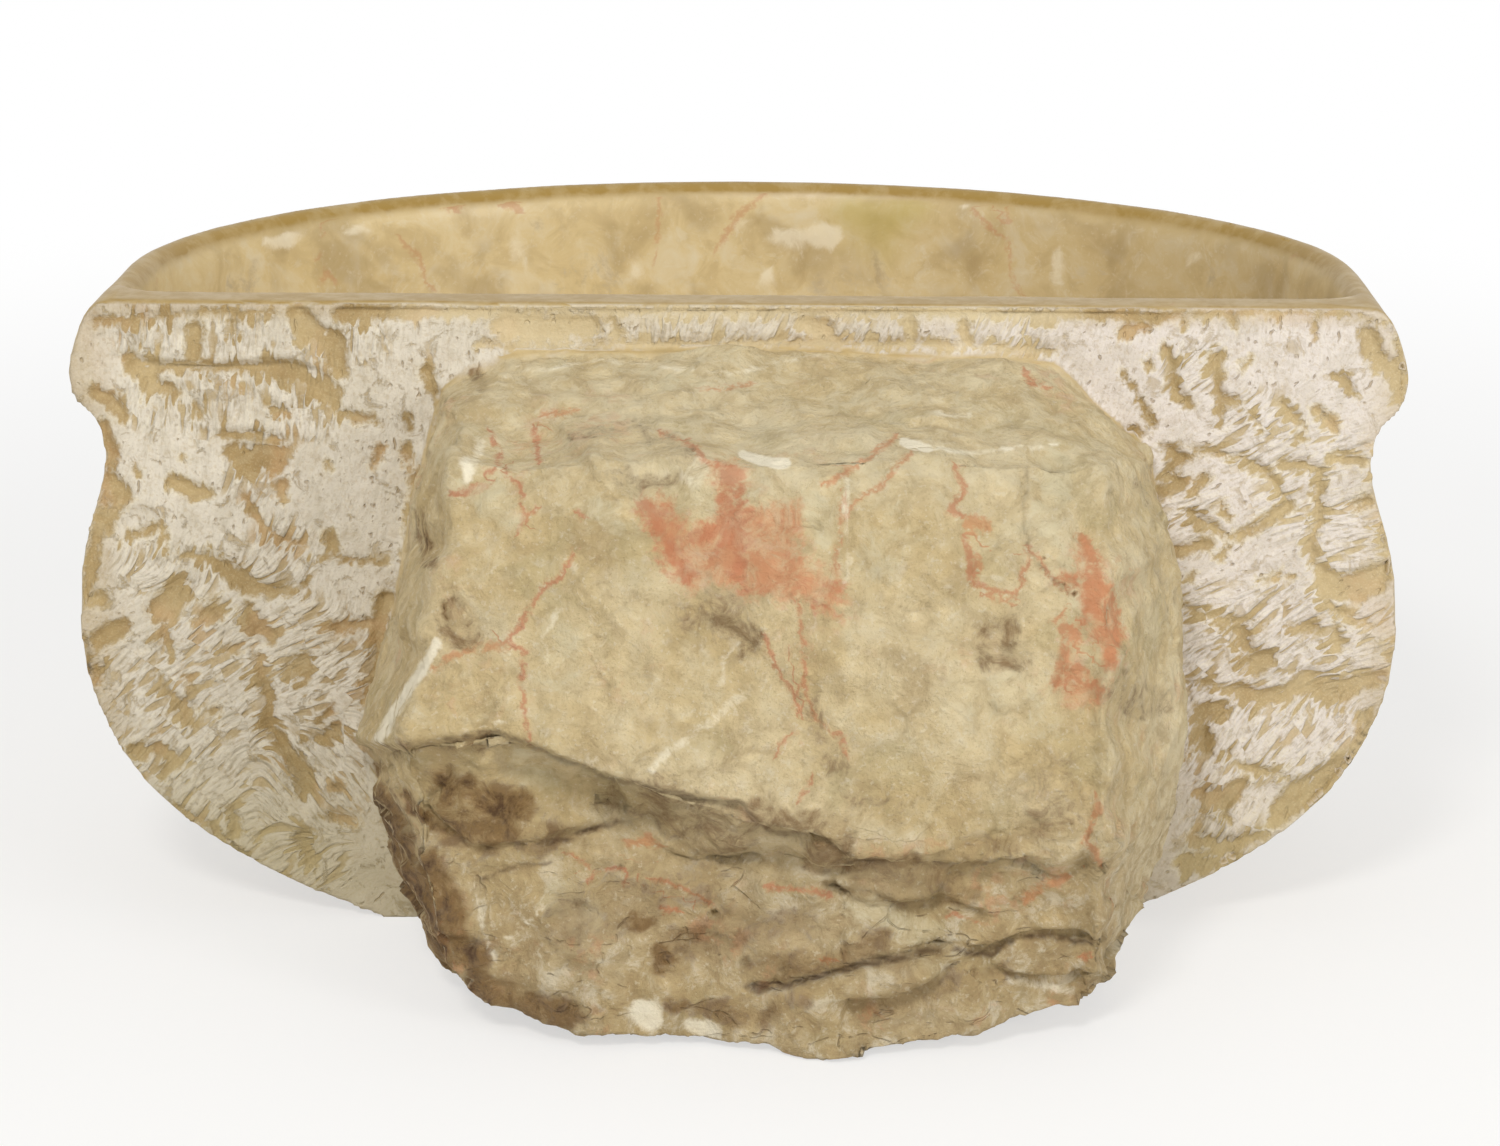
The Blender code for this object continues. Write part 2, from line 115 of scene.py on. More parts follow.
class Wire:
    # one socket of a node tree: sums and products of wires add Math nodes
    def __init__(self, tree, socket=None):
        self.tree = tree
        self.socket = socket

    def node(self, kind, settings=None, values=None, out=0):
        made = self.tree.nodes.new(kind)
        for name, value in (settings or {}).items():
            setattr(made, name, value)
        for name, value in (values or {}).items():
            if isinstance(value, Wire):
                self.tree.links.new(value.socket, made.inputs[name])
            else:
                made.inputs[name].default_value = value
        return Wire(self.tree, made.outputs[out] if len(made.outputs) else None)

    def also(self, out):
        # another output of the node that this wire comes from
        return Wire(self.tree, self.socket.node.outputs[out])

    def maths(self, operation, *operands):
        return self.node("ShaderNodeMath", {"operation": operation}, dict(enumerate(operands)))

    def __add__(self, other):
        return self.maths("ADD", self, other)

    def __radd__(self, other):
        return self.maths("ADD", other, self)

    def __sub__(self, other):
        return self.maths("SUBTRACT", self, other)

    def __rsub__(self, other):
        return self.maths("SUBTRACT", other, self)

    def __mul__(self, other):
        return self.maths("MULTIPLY", self, other)

    def __rmul__(self, other):
        return self.maths("MULTIPLY", other, self)

    def __truediv__(self, other):
        return self.maths("DIVIDE", self, other)

    def __rtruediv__(self, other):
        return self.maths("DIVIDE", other, self)

    def __pow__(self, other):
        return self.maths("POWER", self, other)

    def size(self):
        return self.maths("ABSOLUTE", self)

    def least(self, other):
        return self.maths("MINIMUM", self, other)

    def most(self, other):
        return self.maths("MAXIMUM", self, other)

    def ramp(self, low, high):
        # 0 at low, 1 at high, smooth between; low may be the larger
        values = {"Value": self, "From Min": low, "From Max": high}
        return self.node("ShaderNodeMapRange", {"interpolation_type": "SMOOTHSTEP"}, values)

    def cloud(self, place, size, detail=4.0, roughness=0.55, warp=0.0):
        # soft noise of the given lump size in metres
        values = {"Vector": place, "Scale": 1 / size, "Detail": detail, "Roughness": roughness}
        return self.node("ShaderNodeTexNoise", None, {**values, "Distortion": warp})

    def cracks(self, place, size):
        # 0 on the lines between cells of the given size
        values = {"Vector": place, "Scale": 1 / size}
        return self.node("ShaderNodeTexVoronoi", {"feature": "DISTANCE_TO_EDGE"}, values)

    def vector(self, operation, first, second, out=0):
        return self.node("ShaderNodeVectorMath", {"operation": operation}, {0: first, 1: second}, out)

    def scaled(self, vector, factor):
        return self.node("ShaderNodeVectorMath", {"operation": "SCALE"}, {0: vector, "Scale": factor})

    def wobbled(self, place, scale, detail, amount):
        # the place pushed about by noise
        values = {"Vector": place, "Scale": scale, "Detail": detail}
        shift = self.node("ShaderNodeTexNoise", None, values, "Color")
        shift = shift.vector("SUBTRACT", shift, (0.5, 0.5, 0.5))
        return place.vector("ADD", place, self.scaled(shift, amount))

    def blend(self, factor, first, second):
        # colours go through Mix
        return self.node("ShaderNodeMix", {"data_type": "RGBA"}, {0: factor, 6: first, 7: second}, 2)


def paint(red, green, blue):
    # a screen colour, 0 to 255, as a linear colour
    def linear(value):
        share = value / 255
        return share / 12.92 if share <= 0.04045 else ((share + 0.055) / 1.055) ** 2.4

    return (linear(red), linear(green), linear(blue), 1.0)


def newMaterial(name):
    made = bpy.data.materials.new(name)
    made.use_nodes = True
    made.node_tree.nodes.clear()
    return made, Wire(made.node_tree)


def finished(start, values, bump):
    # the shader itself with its bump, and its link to the surface
    shader = start.node("ShaderNodeBsdfPrincipled", None, values)
    height, distance = bump
    normal = start.node("ShaderNodeBump", None, {"Height": height, "Distance": distance, "Strength": 1.0})
    start.tree.links.new(normal.socket, shader.socket.node.inputs["Normal"])
    start.node("ShaderNodeOutputMaterial", None, {"Surface": shader})


def fromBmesh(name, bm):
    mesh = bpy.data.meshes.new(name)
    bm.to_mesh(mesh)
    bm.free()
    return newObject(name, mesh)


def settled(obj):
    # its modifiers become part of its mesh
    graph = bpy.context.evaluated_depsgraph_get()
    mesh = bpy.data.meshes.new_from_object(obj.evaluated_get(graph))
    old = obj.data
    obj.modifiers.clear()
    obj.data = mesh
    bpy.data.meshes.remove(old)
    return obj


def combined(obj, tool, operation):
    cut = obj.modifiers.new("combine", "BOOLEAN")
    cut.operation = operation
    cut.solver = "EXACT"
    cut.object = tool
    settled(obj)
    bpy.data.objects.remove(tool, do_unlink=True)
    return obj


# the stone's smooth form, in metres: roll to roll, ground to rim, back face to front
stoneLook = {
    "width": 0.710,
    "height": 0.347,
    "depth": 0.394,
    "run": 0.109,  # the straight part of each side
    "backWall": 0.028,
    "sideWall": 0.030,
    "floor": 0.095,
    "corner": 0.022,
    "outlet": -0.16548,
    "rebate": (0.0365, 0.0869),  # radius and level of the seat of the flange
    "hole": 0.023,
    "recess": (0.045, 0.028),  # radius and height of the pocket under the foot
    "overrun": (-0.010, 0.120),  # levels where the outlet's cutter ends
    "around": 168,
    "bends": 8,
    "drilled": 96,
    "join": 1e-5,
    "tailJoin": 1e-6,
    "tailBox": ((-0.26, -0.012, -0.05), (0.26, 0.30, 0.338)),
    "voxel": 0.0025,
    "evenRounds": 12,
    "evenShare": 0.5,
    "evenBack": 0.98,
    "triangles": 188000,
    # shares of half width and height, from the rim down to the foot
    "outside": [
        (0.930, 1.000), (0.954, 0.995), (0.972, 0.975), (0.987, 0.940), (0.997, 0.905),
        (1.000, 0.885), (0.995, 0.858), (0.983, 0.838), (0.966, 0.820), (0.955, 0.795),
        (0.950, 0.760), (0.953, 0.730), (0.964, 0.690), (0.981, 0.635), (0.994, 0.575),
        (1.000, 0.500), (1.000, 0.455), (0.993, 0.400), (0.975, 0.340), (0.945, 0.275),
        (0.900, 0.210), (0.835, 0.150), (0.755, 0.095), (0.660, 0.045), (0.575, 0.010),
        (0.555, 0.000),
    ],
    # shares of the hollow's half width and depth, from the rim down to the floor
    "inside": [
        (1.056, -0.040), (1.034, 0.000), (1.018, 0.012), (1.006, 0.036), (1.000, 0.075),
        (0.998, 0.150), (0.991, 0.300), (0.976, 0.450), (0.945, 0.600), (0.895, 0.730),
        (0.815, 0.845), (0.700, 0.930), (0.540, 0.980), (0.360, 1.000), (0.000, 1.000),
    ],
}


def smoothLine(points, steps):
    # a smooth line through the points
    points = np.array(points, float)
    ends = np.vstack([2 * points[0] - points[1], points, 2 * points[-1] - points[-2]])
    line = []
    for before, start, end, after in zip(ends, ends[1:], ends[2:], ends[3:]):
        for t in np.arange(steps) / steps:
            line.append(
                0.5 * (
                    2 * start
                    + (end - before) * t
                    + (2 * before - 5 * start + 4 * end - after) * t ** 2
                    + (3 * start - before - 3 * end + after) * t ** 3
                )
            )
    line.append(points[-1])
    return np.array(line)


def halfRound(name, line, stations, press, centre):
    # a closed form: the line is carried past each station, (cos, sin, back, inset)
    slope = np.gradient(line, axis=0)
    slope /= np.linalg.norm(slope, axis=1)[:, None]
    outward = np.stack([-slope[:, 1], slope[:, 0]], axis=1)
    bm = bmesh.new()
    grid = []
    for cosine, sine, back, inset in stations:
        column = []
        for (radius, level), (across, up) in zip(line, outward):
            x = (radius - across * inset) * cosine
            y = back - radius * sine * press
            column.append(bm.verts.new((x, y + centre * bool(sine), level - up * inset)))
        grid.append(column)
    for left, right in zip(grid, grid[1:]):
        for i in range(len(line) - 1):
            bm.faces.new((left[i], left[i + 1], right[i + 1], right[i]))
    bm.faces.new([column[0] for column in grid])
    flatFoot = line[-1][0] > 0  # otherwise the columns meet at radius 0
    if flatFoot:
        bm.faces.new([column[-1] for column in grid])
    last = grid[-1] if flatFoot else grid[-1][:-1]
    bm.faces.new(grid[0] + last[::-1])
    bmesh.ops.remove_doubles(bm, verts=bm.verts[:], dist=stoneLook["join"])
    bmesh.ops.recalc_face_normals(bm, faces=bm.faces[:])
    return fromBmesh(name, bm)


def turnedTool(name, line, place):
    # a turned cutter about an upright axis
    bm = bmesh.new()
    verts = [bm.verts.new((radius, 0.0, level)) for radius, level in line]
    turned = verts + [bm.edges.new(pair) for pair in zip(verts, verts[1:])]
    centre, axis, steps = (0, 0, 0), (0, 0, 1), stoneLook["drilled"]
    bmesh.ops.spin(bm, geom=turned, cent=centre, axis=axis, angle=math.tau, steps=steps, use_merge=True)
    bmesh.ops.remove_doubles(bm, verts=bm.verts[:], dist=stoneLook["join"])
    bmesh.ops.translate(bm, verts=bm.verts[:], vec=place)
    bmesh.ops.recalc_face_normals(bm, faces=bm.faces[:])
    return fromBmesh(name, bm)


def boxTool(name, low, high):
    bm = bmesh.new()
    bmesh.ops.create_cube(bm, size=1.0)
    low, high = Vector(low), Vector(high)
    bmesh.ops.scale(bm, verts=bm.verts[:], vec=high - low)
    bmesh.ops.translate(bm, verts=bm.verts[:], vec=(low + high) / 2)
    return fromBmesh(name, bm)


def frameTail():
    # the rough tail, cut from a merged copy of the frame's stone
    bm = bmesh.new()
    bm.from_mesh(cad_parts["font_stone"].data)
    bmesh.ops.remove_doubles(bm, verts=bm.verts[:], dist=stoneLook["tailJoin"])
    return combined(fromBmesh("tail", bm), boxTool("slab", *stoneLook["tailBox"]), "INTERSECT")


def bowlHollow(half, around):
    # the hollow's own form, with rounded corners along the back wall
    look = stoneLook
    inner = half - look["sideWall"]
    deep = look["height"] - look["floor"]
    line = smoothLine(look["inside"], 5)
    line = np.stack([line[:, 0] * inner, look["height"] - line[:, 1] * deep], axis=1)
    fillet = []
    for k in range(look["bends"], -1, -1):
        bend = math.pi / 2 * k / look["bends"]
        inset = look["corner"] * (1 - math.cos(bend))
        fillet.append((1.0, 0.0, -look["backWall"] - look["corner"] * (1 - math.sin(bend)), inset))
    stations = fillet + around + [(-cosine, sine, back, inset) for cosine, sine, back, inset in fillet[::-1]]
    press = (look["depth"] - look["run"] - look["sideWall"]) / inner
    return halfRound("hollow", line, stations, press, -look["run"])


def outletTool():
    # the seat of the flange, the hole and the pocket under the foot
    look = stoneLook
    seat, seatLevel = look["rebate"]
    pocket, pocketTop = look["recess"]
    low, high = look["overrun"]
    steps = [(0.0, high), (seat, high), (seat, seatLevel), (look["hole"], seatLevel)]
    steps += [(look["hole"], pocketTop), (pocket, pocketTop), (pocket, low), (0.0, low)]
    return turnedTool("outlet", steps, (0.0, look["outlet"], 0.0))


def smoothForm():
    # bowl with its hollow and outlet, fused with the tail
    look = stoneLook
    half = look["width"] / 2
    line = smoothLine(look["outside"], 4) * (half, look["height"])
    turn = np.linspace(0, math.pi, look["around"] + 1)
    around = [(math.cos(angle), math.sin(angle) + 1e-9, 0.0, 0.0) for angle in turn]
    stations = [(1.0, 0.0, 0.0, 0.0)] + around + [(-1.0, 0.0, 0.0, 0.0)]
    press = (look["depth"] - look["run"]) / half
    body = halfRound("stone", line, stations, press, -look["run"])
    combined(body, bowlHollow(half, around), "DIFFERENCE")
    combined(body, outletTool(), "DIFFERENCE")
    tail = frameTail()
    bm = bmesh.new()
    bm.from_mesh(body.data)
    bm.from_mesh(tail.data)
    bm.to_mesh(body.data)
    bm.free()
    bpy.data.objects.remove(tail, do_unlink=True)
    fuse = body.modifiers.new("fuse", "REMESH")
    fuse.mode = "VOXEL"
    fuse.voxel_size = look["voxel"] * 1
    return settled(body)


# marks of the worked and broken faces, read from the photograph: each line's
# points stand in picture pixels, and its width is half the mark's own
dressing = {
    "depth": 0.0036,  # how deep the smooth hollows lie under the bruised patches
    "edge": 0.0030,
    "tooth": 0.0052,
    # lean of the strokes, in degrees from level: place, lean
    "lean": [
        ((220, 330), 85), ((420, 330), 84), ((1120, 350), 70), ((1300, 335), 85), ((180, 400), 80),
        ((340, 450), 76), ((170, 520), 74), ((330, 560), 70), ((150, 640), 34), ((300, 640), 26),
        ((200, 790), 45), ((330, 790), -50), ((320, 880), 40), ((1180, 420), 34), ((1320, 430), 28),
        ((1210, 540), 26), ((1370, 520), 18), ((1250, 640), 32), ((1370, 650), 22), ((1230, 770), 58),
        ((1340, 740), 56),
    ],
    # where the claw left combed strokes: (x, y, radius)
    "combed": [
        (150, 335, 34), (244, 340, 36), (316, 358, 24), (366, 344, 24), (152, 406, 28), (205, 406, 34),
        (256, 404, 40), (306, 408, 34), (248, 484, 26), (282, 552, 36), (190, 572, 30), (140, 565, 30),
        (205, 660, 60), (316, 660, 62), (130, 675, 45), (220, 760, 70), (330, 770, 50), (150, 740, 40),
        (300, 860, 50), (690, 328, 45), (775, 328, 25), (870, 328, 30), (1016, 328, 40), (1190, 365, 28),
        (1260, 432, 42), (1340, 468, 42), (1286, 505, 34), (1350, 528, 42), (1186, 512, 32), (1200, 640, 60),
        (1290, 640, 60), (1370, 650, 50), (1230, 750, 50), (1320, 730, 60), (1220, 830, 40),
    ],
    # the smooth hollows: (x, y, half width)
    "hollows": [
        [(439, 312, 5), (600, 311, 4), (760, 311, 4), (900, 311, 5), (1060, 313, 6)],
        [(505, 325, 14), (545, 328, 16), (590, 326, 12)],
        [(612, 320, 6), (616, 335, 6)],
        [(805, 322, 10), (825, 330, 12)],
        [(910, 320, 6), (911, 336, 6)],
        [(964, 322, 6), (966, 340, 6)],
        [(480, 344, 4), (600, 346, 5), (760, 342, 5), (900, 344, 5), (1050, 350, 4)],
        [(104, 425, 6), (112, 455, 7), (108, 480, 5), (100, 520, 6), (92, 560, 6), (86, 600, 6)],
        [(84, 640, 4), (88, 690, 5), (104, 735, 6), (130, 780, 7), (165, 825, 9), (210, 865, 10),
         (262, 905, 11),
         (320, 925, 10)],
        [(1402, 340, 6), (1408, 372, 8), (1398, 400, 6)],
        [(1376, 450, 3), (1380, 500, 4), (1394, 545, 4)],
        [(1400, 640, 4), (1396, 680, 5), (1380, 720, 6), (1352, 765, 8), (1310, 805, 9)],
        [(97, 321, 5), (147, 318, 4), (182, 313, 3), (274, 311, 2)],
        [(196, 330, 10), (194, 354, 8)],
        [(232, 321, 5), (233, 332, 4)],
        [(298, 314, 11), (310, 332, 14), (333, 344, 14), (338, 369, 11)],
        [(343, 313, 10), (388, 312, 8), (439, 312, 6)],
        [(134, 367, 8), (168, 367, 6), (209, 367, 5), (251, 367, 7), (281, 368, 10), (310, 379, 14),
         (329, 392, 14), (333, 406, 9)],
        [(129, 355, 6), (147, 369, 10), (150, 387, 10), (173, 392, 6)],
        [(197, 401, 6), (198, 415, 5)],
        [(274, 408, 5), (285, 411, 4)],
        [(95, 392, 7), (113, 403, 8), (124, 416, 6)],
        [(219, 435, 4), (251, 435, 6), (287, 441, 3)],
        [(237, 454, 14), (255, 461, 18), (271, 461, 16), (287, 449, 6)],
        [(338, 412, 4), (361, 418, 5), (377, 422, 4)],
        [(407, 415, 4), (410, 429, 4)],
        [(382, 447, 4), (375, 465, 4)],
        [(407, 447, 5), (410, 465, 5)],
        [(427, 369, 6), (434, 392, 5), (445, 410, 6), (437, 447, 6), (416, 481, 6), (411, 530, 6),
         (410, 555, 6)],
        [(170, 480, 6), (191, 491, 10), (209, 493, 6)],
        [(113, 479, 8), (123, 495, 10), (111, 514, 7), (104, 530, 6)],
        [(281, 486, 8), (283, 496, 6)],
        [(251, 502, 5), (256, 516, 4), (269, 530, 3), (287, 541, 3), (304, 544, 4)],
        [(127, 539, 3), (145, 532, 6), (159, 525, 4), (166, 539, 3)],
        [(329, 534, 5), (334, 550, 6)],
        [(189, 555, 4), (219, 555, 5)],
        [(182, 456, 2), (183, 458, 2)],
        [(329, 465, 4), (330, 467, 3)],
        [(136, 470, 3), (138, 472, 3)],
        [(182, 556, 4), (212, 559, 7), (232, 574, 11), (251, 586, 10), (274, 591, 6), (308, 586, 3)],
        [(163, 609, 16), (182, 591, 15)],
        [(164, 627, 6), (166, 641, 6), (173, 655, 4)],
        [(205, 618, 8), (221, 607, 10)],
        [(225, 651, 6), (240, 646, 4)],
        [(248, 609, 7), (260, 630, 10), (274, 637, 6)],
        [(260, 659, 7), (264, 682, 6), (271, 705, 8), (270, 724, 8), (281, 742, 7), (292, 756, 9),
         (304, 774, 11), (306, 791, 11)],
        [(292, 669, 10), (302, 664, 11), (306, 676, 8)],
        [(157, 669, 3), (162, 687, 4), (175, 698, 6), (189, 710, 9), (191, 722, 5)],
        [(189, 678, 4), (194, 696, 5)],
        [(207, 714, 3), (223, 706, 3)],
        [(104, 602, 8), (97, 600, 9)],
        [(127, 628, 7), (111, 632, 11), (97, 641, 9)],
        [(99, 669, 9), (97, 678, 7)],
        [(338, 628, 8), (354, 625, 6), (375, 623, 5)],
        [(322, 556, 2), (354, 559, 3), (386, 563, 3)],
        [(386, 600, 10), (380, 632, 8), (377, 666, 7), (366, 701, 6)],
        [(333, 710, 6), (320, 720, 4)],
        [(338, 731, 9), (320, 737, 4), (304, 742, 4)],
        [(136, 749, 8), (154, 747, 7), (177, 759, 10), (163, 772, 4)],
        [(331, 816, 6), (354, 821, 6)],
        [(304, 838, 11), (311, 857, 10)],
        [(177, 806, 4), (209, 825, 5), (237, 853, 5), (260, 869, 5), (297, 894, 5)],
        [(233, 811, 5), (237, 834, 6), (228, 839, 4)],
        [(255, 841, 3), (263, 834, 3)],
        [(336, 788, 6), (343, 793, 5)],
        [(1060, 314, 6), (1106, 314, 6), (1161, 317, 5), (1207, 313, 3), (1267, 313, 2), (1358, 314, 2),
         (1386, 325, 2)],
        [(1127, 331, 9), (1145, 326, 7)],
        [(1184, 311, 3), (1184, 326, 3)],
        [(1232, 316, 5), (1233, 322, 4)],
        [(1315, 321, 3), (1316, 342, 2)],
        [(1166, 346, 4), (1172, 367, 6), (1175, 392, 8), (1189, 404, 5)],
        [(1122, 371, 2), (1139, 397, 3), (1152, 424, 5)],
        [(1150, 365, 6), (1151, 363, 5)],
        [(1218, 356, 7), (1216, 376, 5), (1219, 397, 7), (1223, 418, 3)],
        [(1221, 399, 7), (1242, 401, 4)],
        [(1241, 367, 3), (1251, 360, 3)],
        [(1251, 415, 3), (1262, 427, 2)],
        [(1283, 404, 5), (1295, 420, 8)],
        [(1319, 411, 7), (1334, 429, 6)],
        [(1368, 335, 10), (1377, 360, 11), (1393, 369, 12), (1400, 388, 8)],
        [(1333, 376, 5), (1347, 381, 6), (1354, 395, 4)],
        [(1113, 431, 4), (1129, 429, 6), (1143, 434, 3)],
        [(1163, 447, 5), (1184, 457, 6), (1164, 475, 5), (1180, 484, 7), (1159, 493, 8)],
        [(1195, 450, 4), (1221, 452, 4), (1244, 457, 4), (1262, 468, 5), (1281, 491, 4), (1290, 505, 6),
         (1274, 516, 6), (1256, 528, 6), (1240, 535, 5)],
        [(1195, 489, 4), (1207, 477, 5)],
        [(1221, 505, 4), (1228, 519, 4)],
        [(1189, 512, 5), (1207, 525, 7), (1221, 532, 6), (1230, 537, 3)],
        [(1170, 551, 8), (1189, 548, 7), (1207, 544, 5)],
        [(1280, 466, 5), (1299, 463, 7), (1320, 470, 6), (1318, 498, 6), (1320, 521, 6), (1311, 544, 6),
         (1313, 559, 7)],
        [(1336, 459, 8), (1359, 461, 6)],
        [(1368, 502, 7), (1352, 507, 5)],
        [(1386, 525, 6), (1391, 548, 6)],
        [(1228, 548, 4), (1221, 558, 3)],
        [(1296, 441, 4), (1308, 438, 3)],
        [(1317, 569, 9), (1328, 584, 13), (1356, 589, 15), (1374, 580, 14), (1391, 569, 10)],
        [(1328, 604, 4), (1350, 619, 5), (1369, 623, 4)],
        [(1260, 581, 2), (1280, 576, 4), (1291, 577, 2)],
        [(1187, 578, 3), (1194, 576, 3)],
        [(1169, 597, 4), (1187, 608, 4), (1208, 615, 3), (1239, 621, 4), (1252, 619, 3)],
        [(1239, 632, 11), (1248, 647, 8), (1235, 641, 6)],
        [(1302, 628, 7), (1315, 628, 7)],
        [(1336, 632, 6), (1337, 643, 10)],
        [(1187, 680, 3), (1222, 688, 4), (1239, 691, 8), (1261, 699, 9), (1287, 695, 8), (1309, 682, 14),
         (1339, 691, 12), (1361, 682, 9), (1382, 678, 7)],
        [(1252, 664, 12), (1270, 658, 8)],
        [(1202, 712, 11), (1222, 710, 9)],
        [(1204, 734, 9), (1204, 749, 7)],
        [(1228, 751, 4), (1229, 752, 4)],
        [(1239, 766, 3), (1252, 769, 6), (1274, 773, 4), (1291, 777, 3)],
        [(1204, 795, 11), (1222, 801, 12), (1235, 790, 9), (1244, 782, 5)],
        [(1345, 762, 7), (1322, 779, 12), (1300, 795, 15), (1283, 810, 12), (1272, 821, 6)],
        [(1221, 816, 3), (1231, 818, 3)],
        [(1195, 840, 9), (1222, 847, 9), (1248, 840, 7), (1265, 836, 4)],
        [(1187, 864, 12), (1230, 860, 11)],
        [(1367, 712, 4), (1361, 734, 4), (1349, 756, 5)],
    ],
    # steps of the bed: depth in metres, then the line, with its lower side below
    "steps": [
        (0.0026, [(120, 356), (165, 361), (200, 364), (240, 362), (290, 357), (304, 362)]),
        (0.0016, [(183, 424), (215, 431), (245, 427), (290, 435), (320, 437)]),
        (0.0014, [(246, 497), (270, 530), (290, 545), (310, 546)]),
        (0.0014, [(150, 560), (185, 556), (220, 560)]),
        (0.0016, [(1180, 455), (1215, 448), (1262, 470)]),
        (0.0014, [(1190, 590), (1230, 572), (1290, 560)]),
        (0.0014, [(1230, 690), (1290, 668), (1350, 664)]),
        (0.0018, [(1190, 815), (1240, 790), (1310, 775)]),
    ],
}

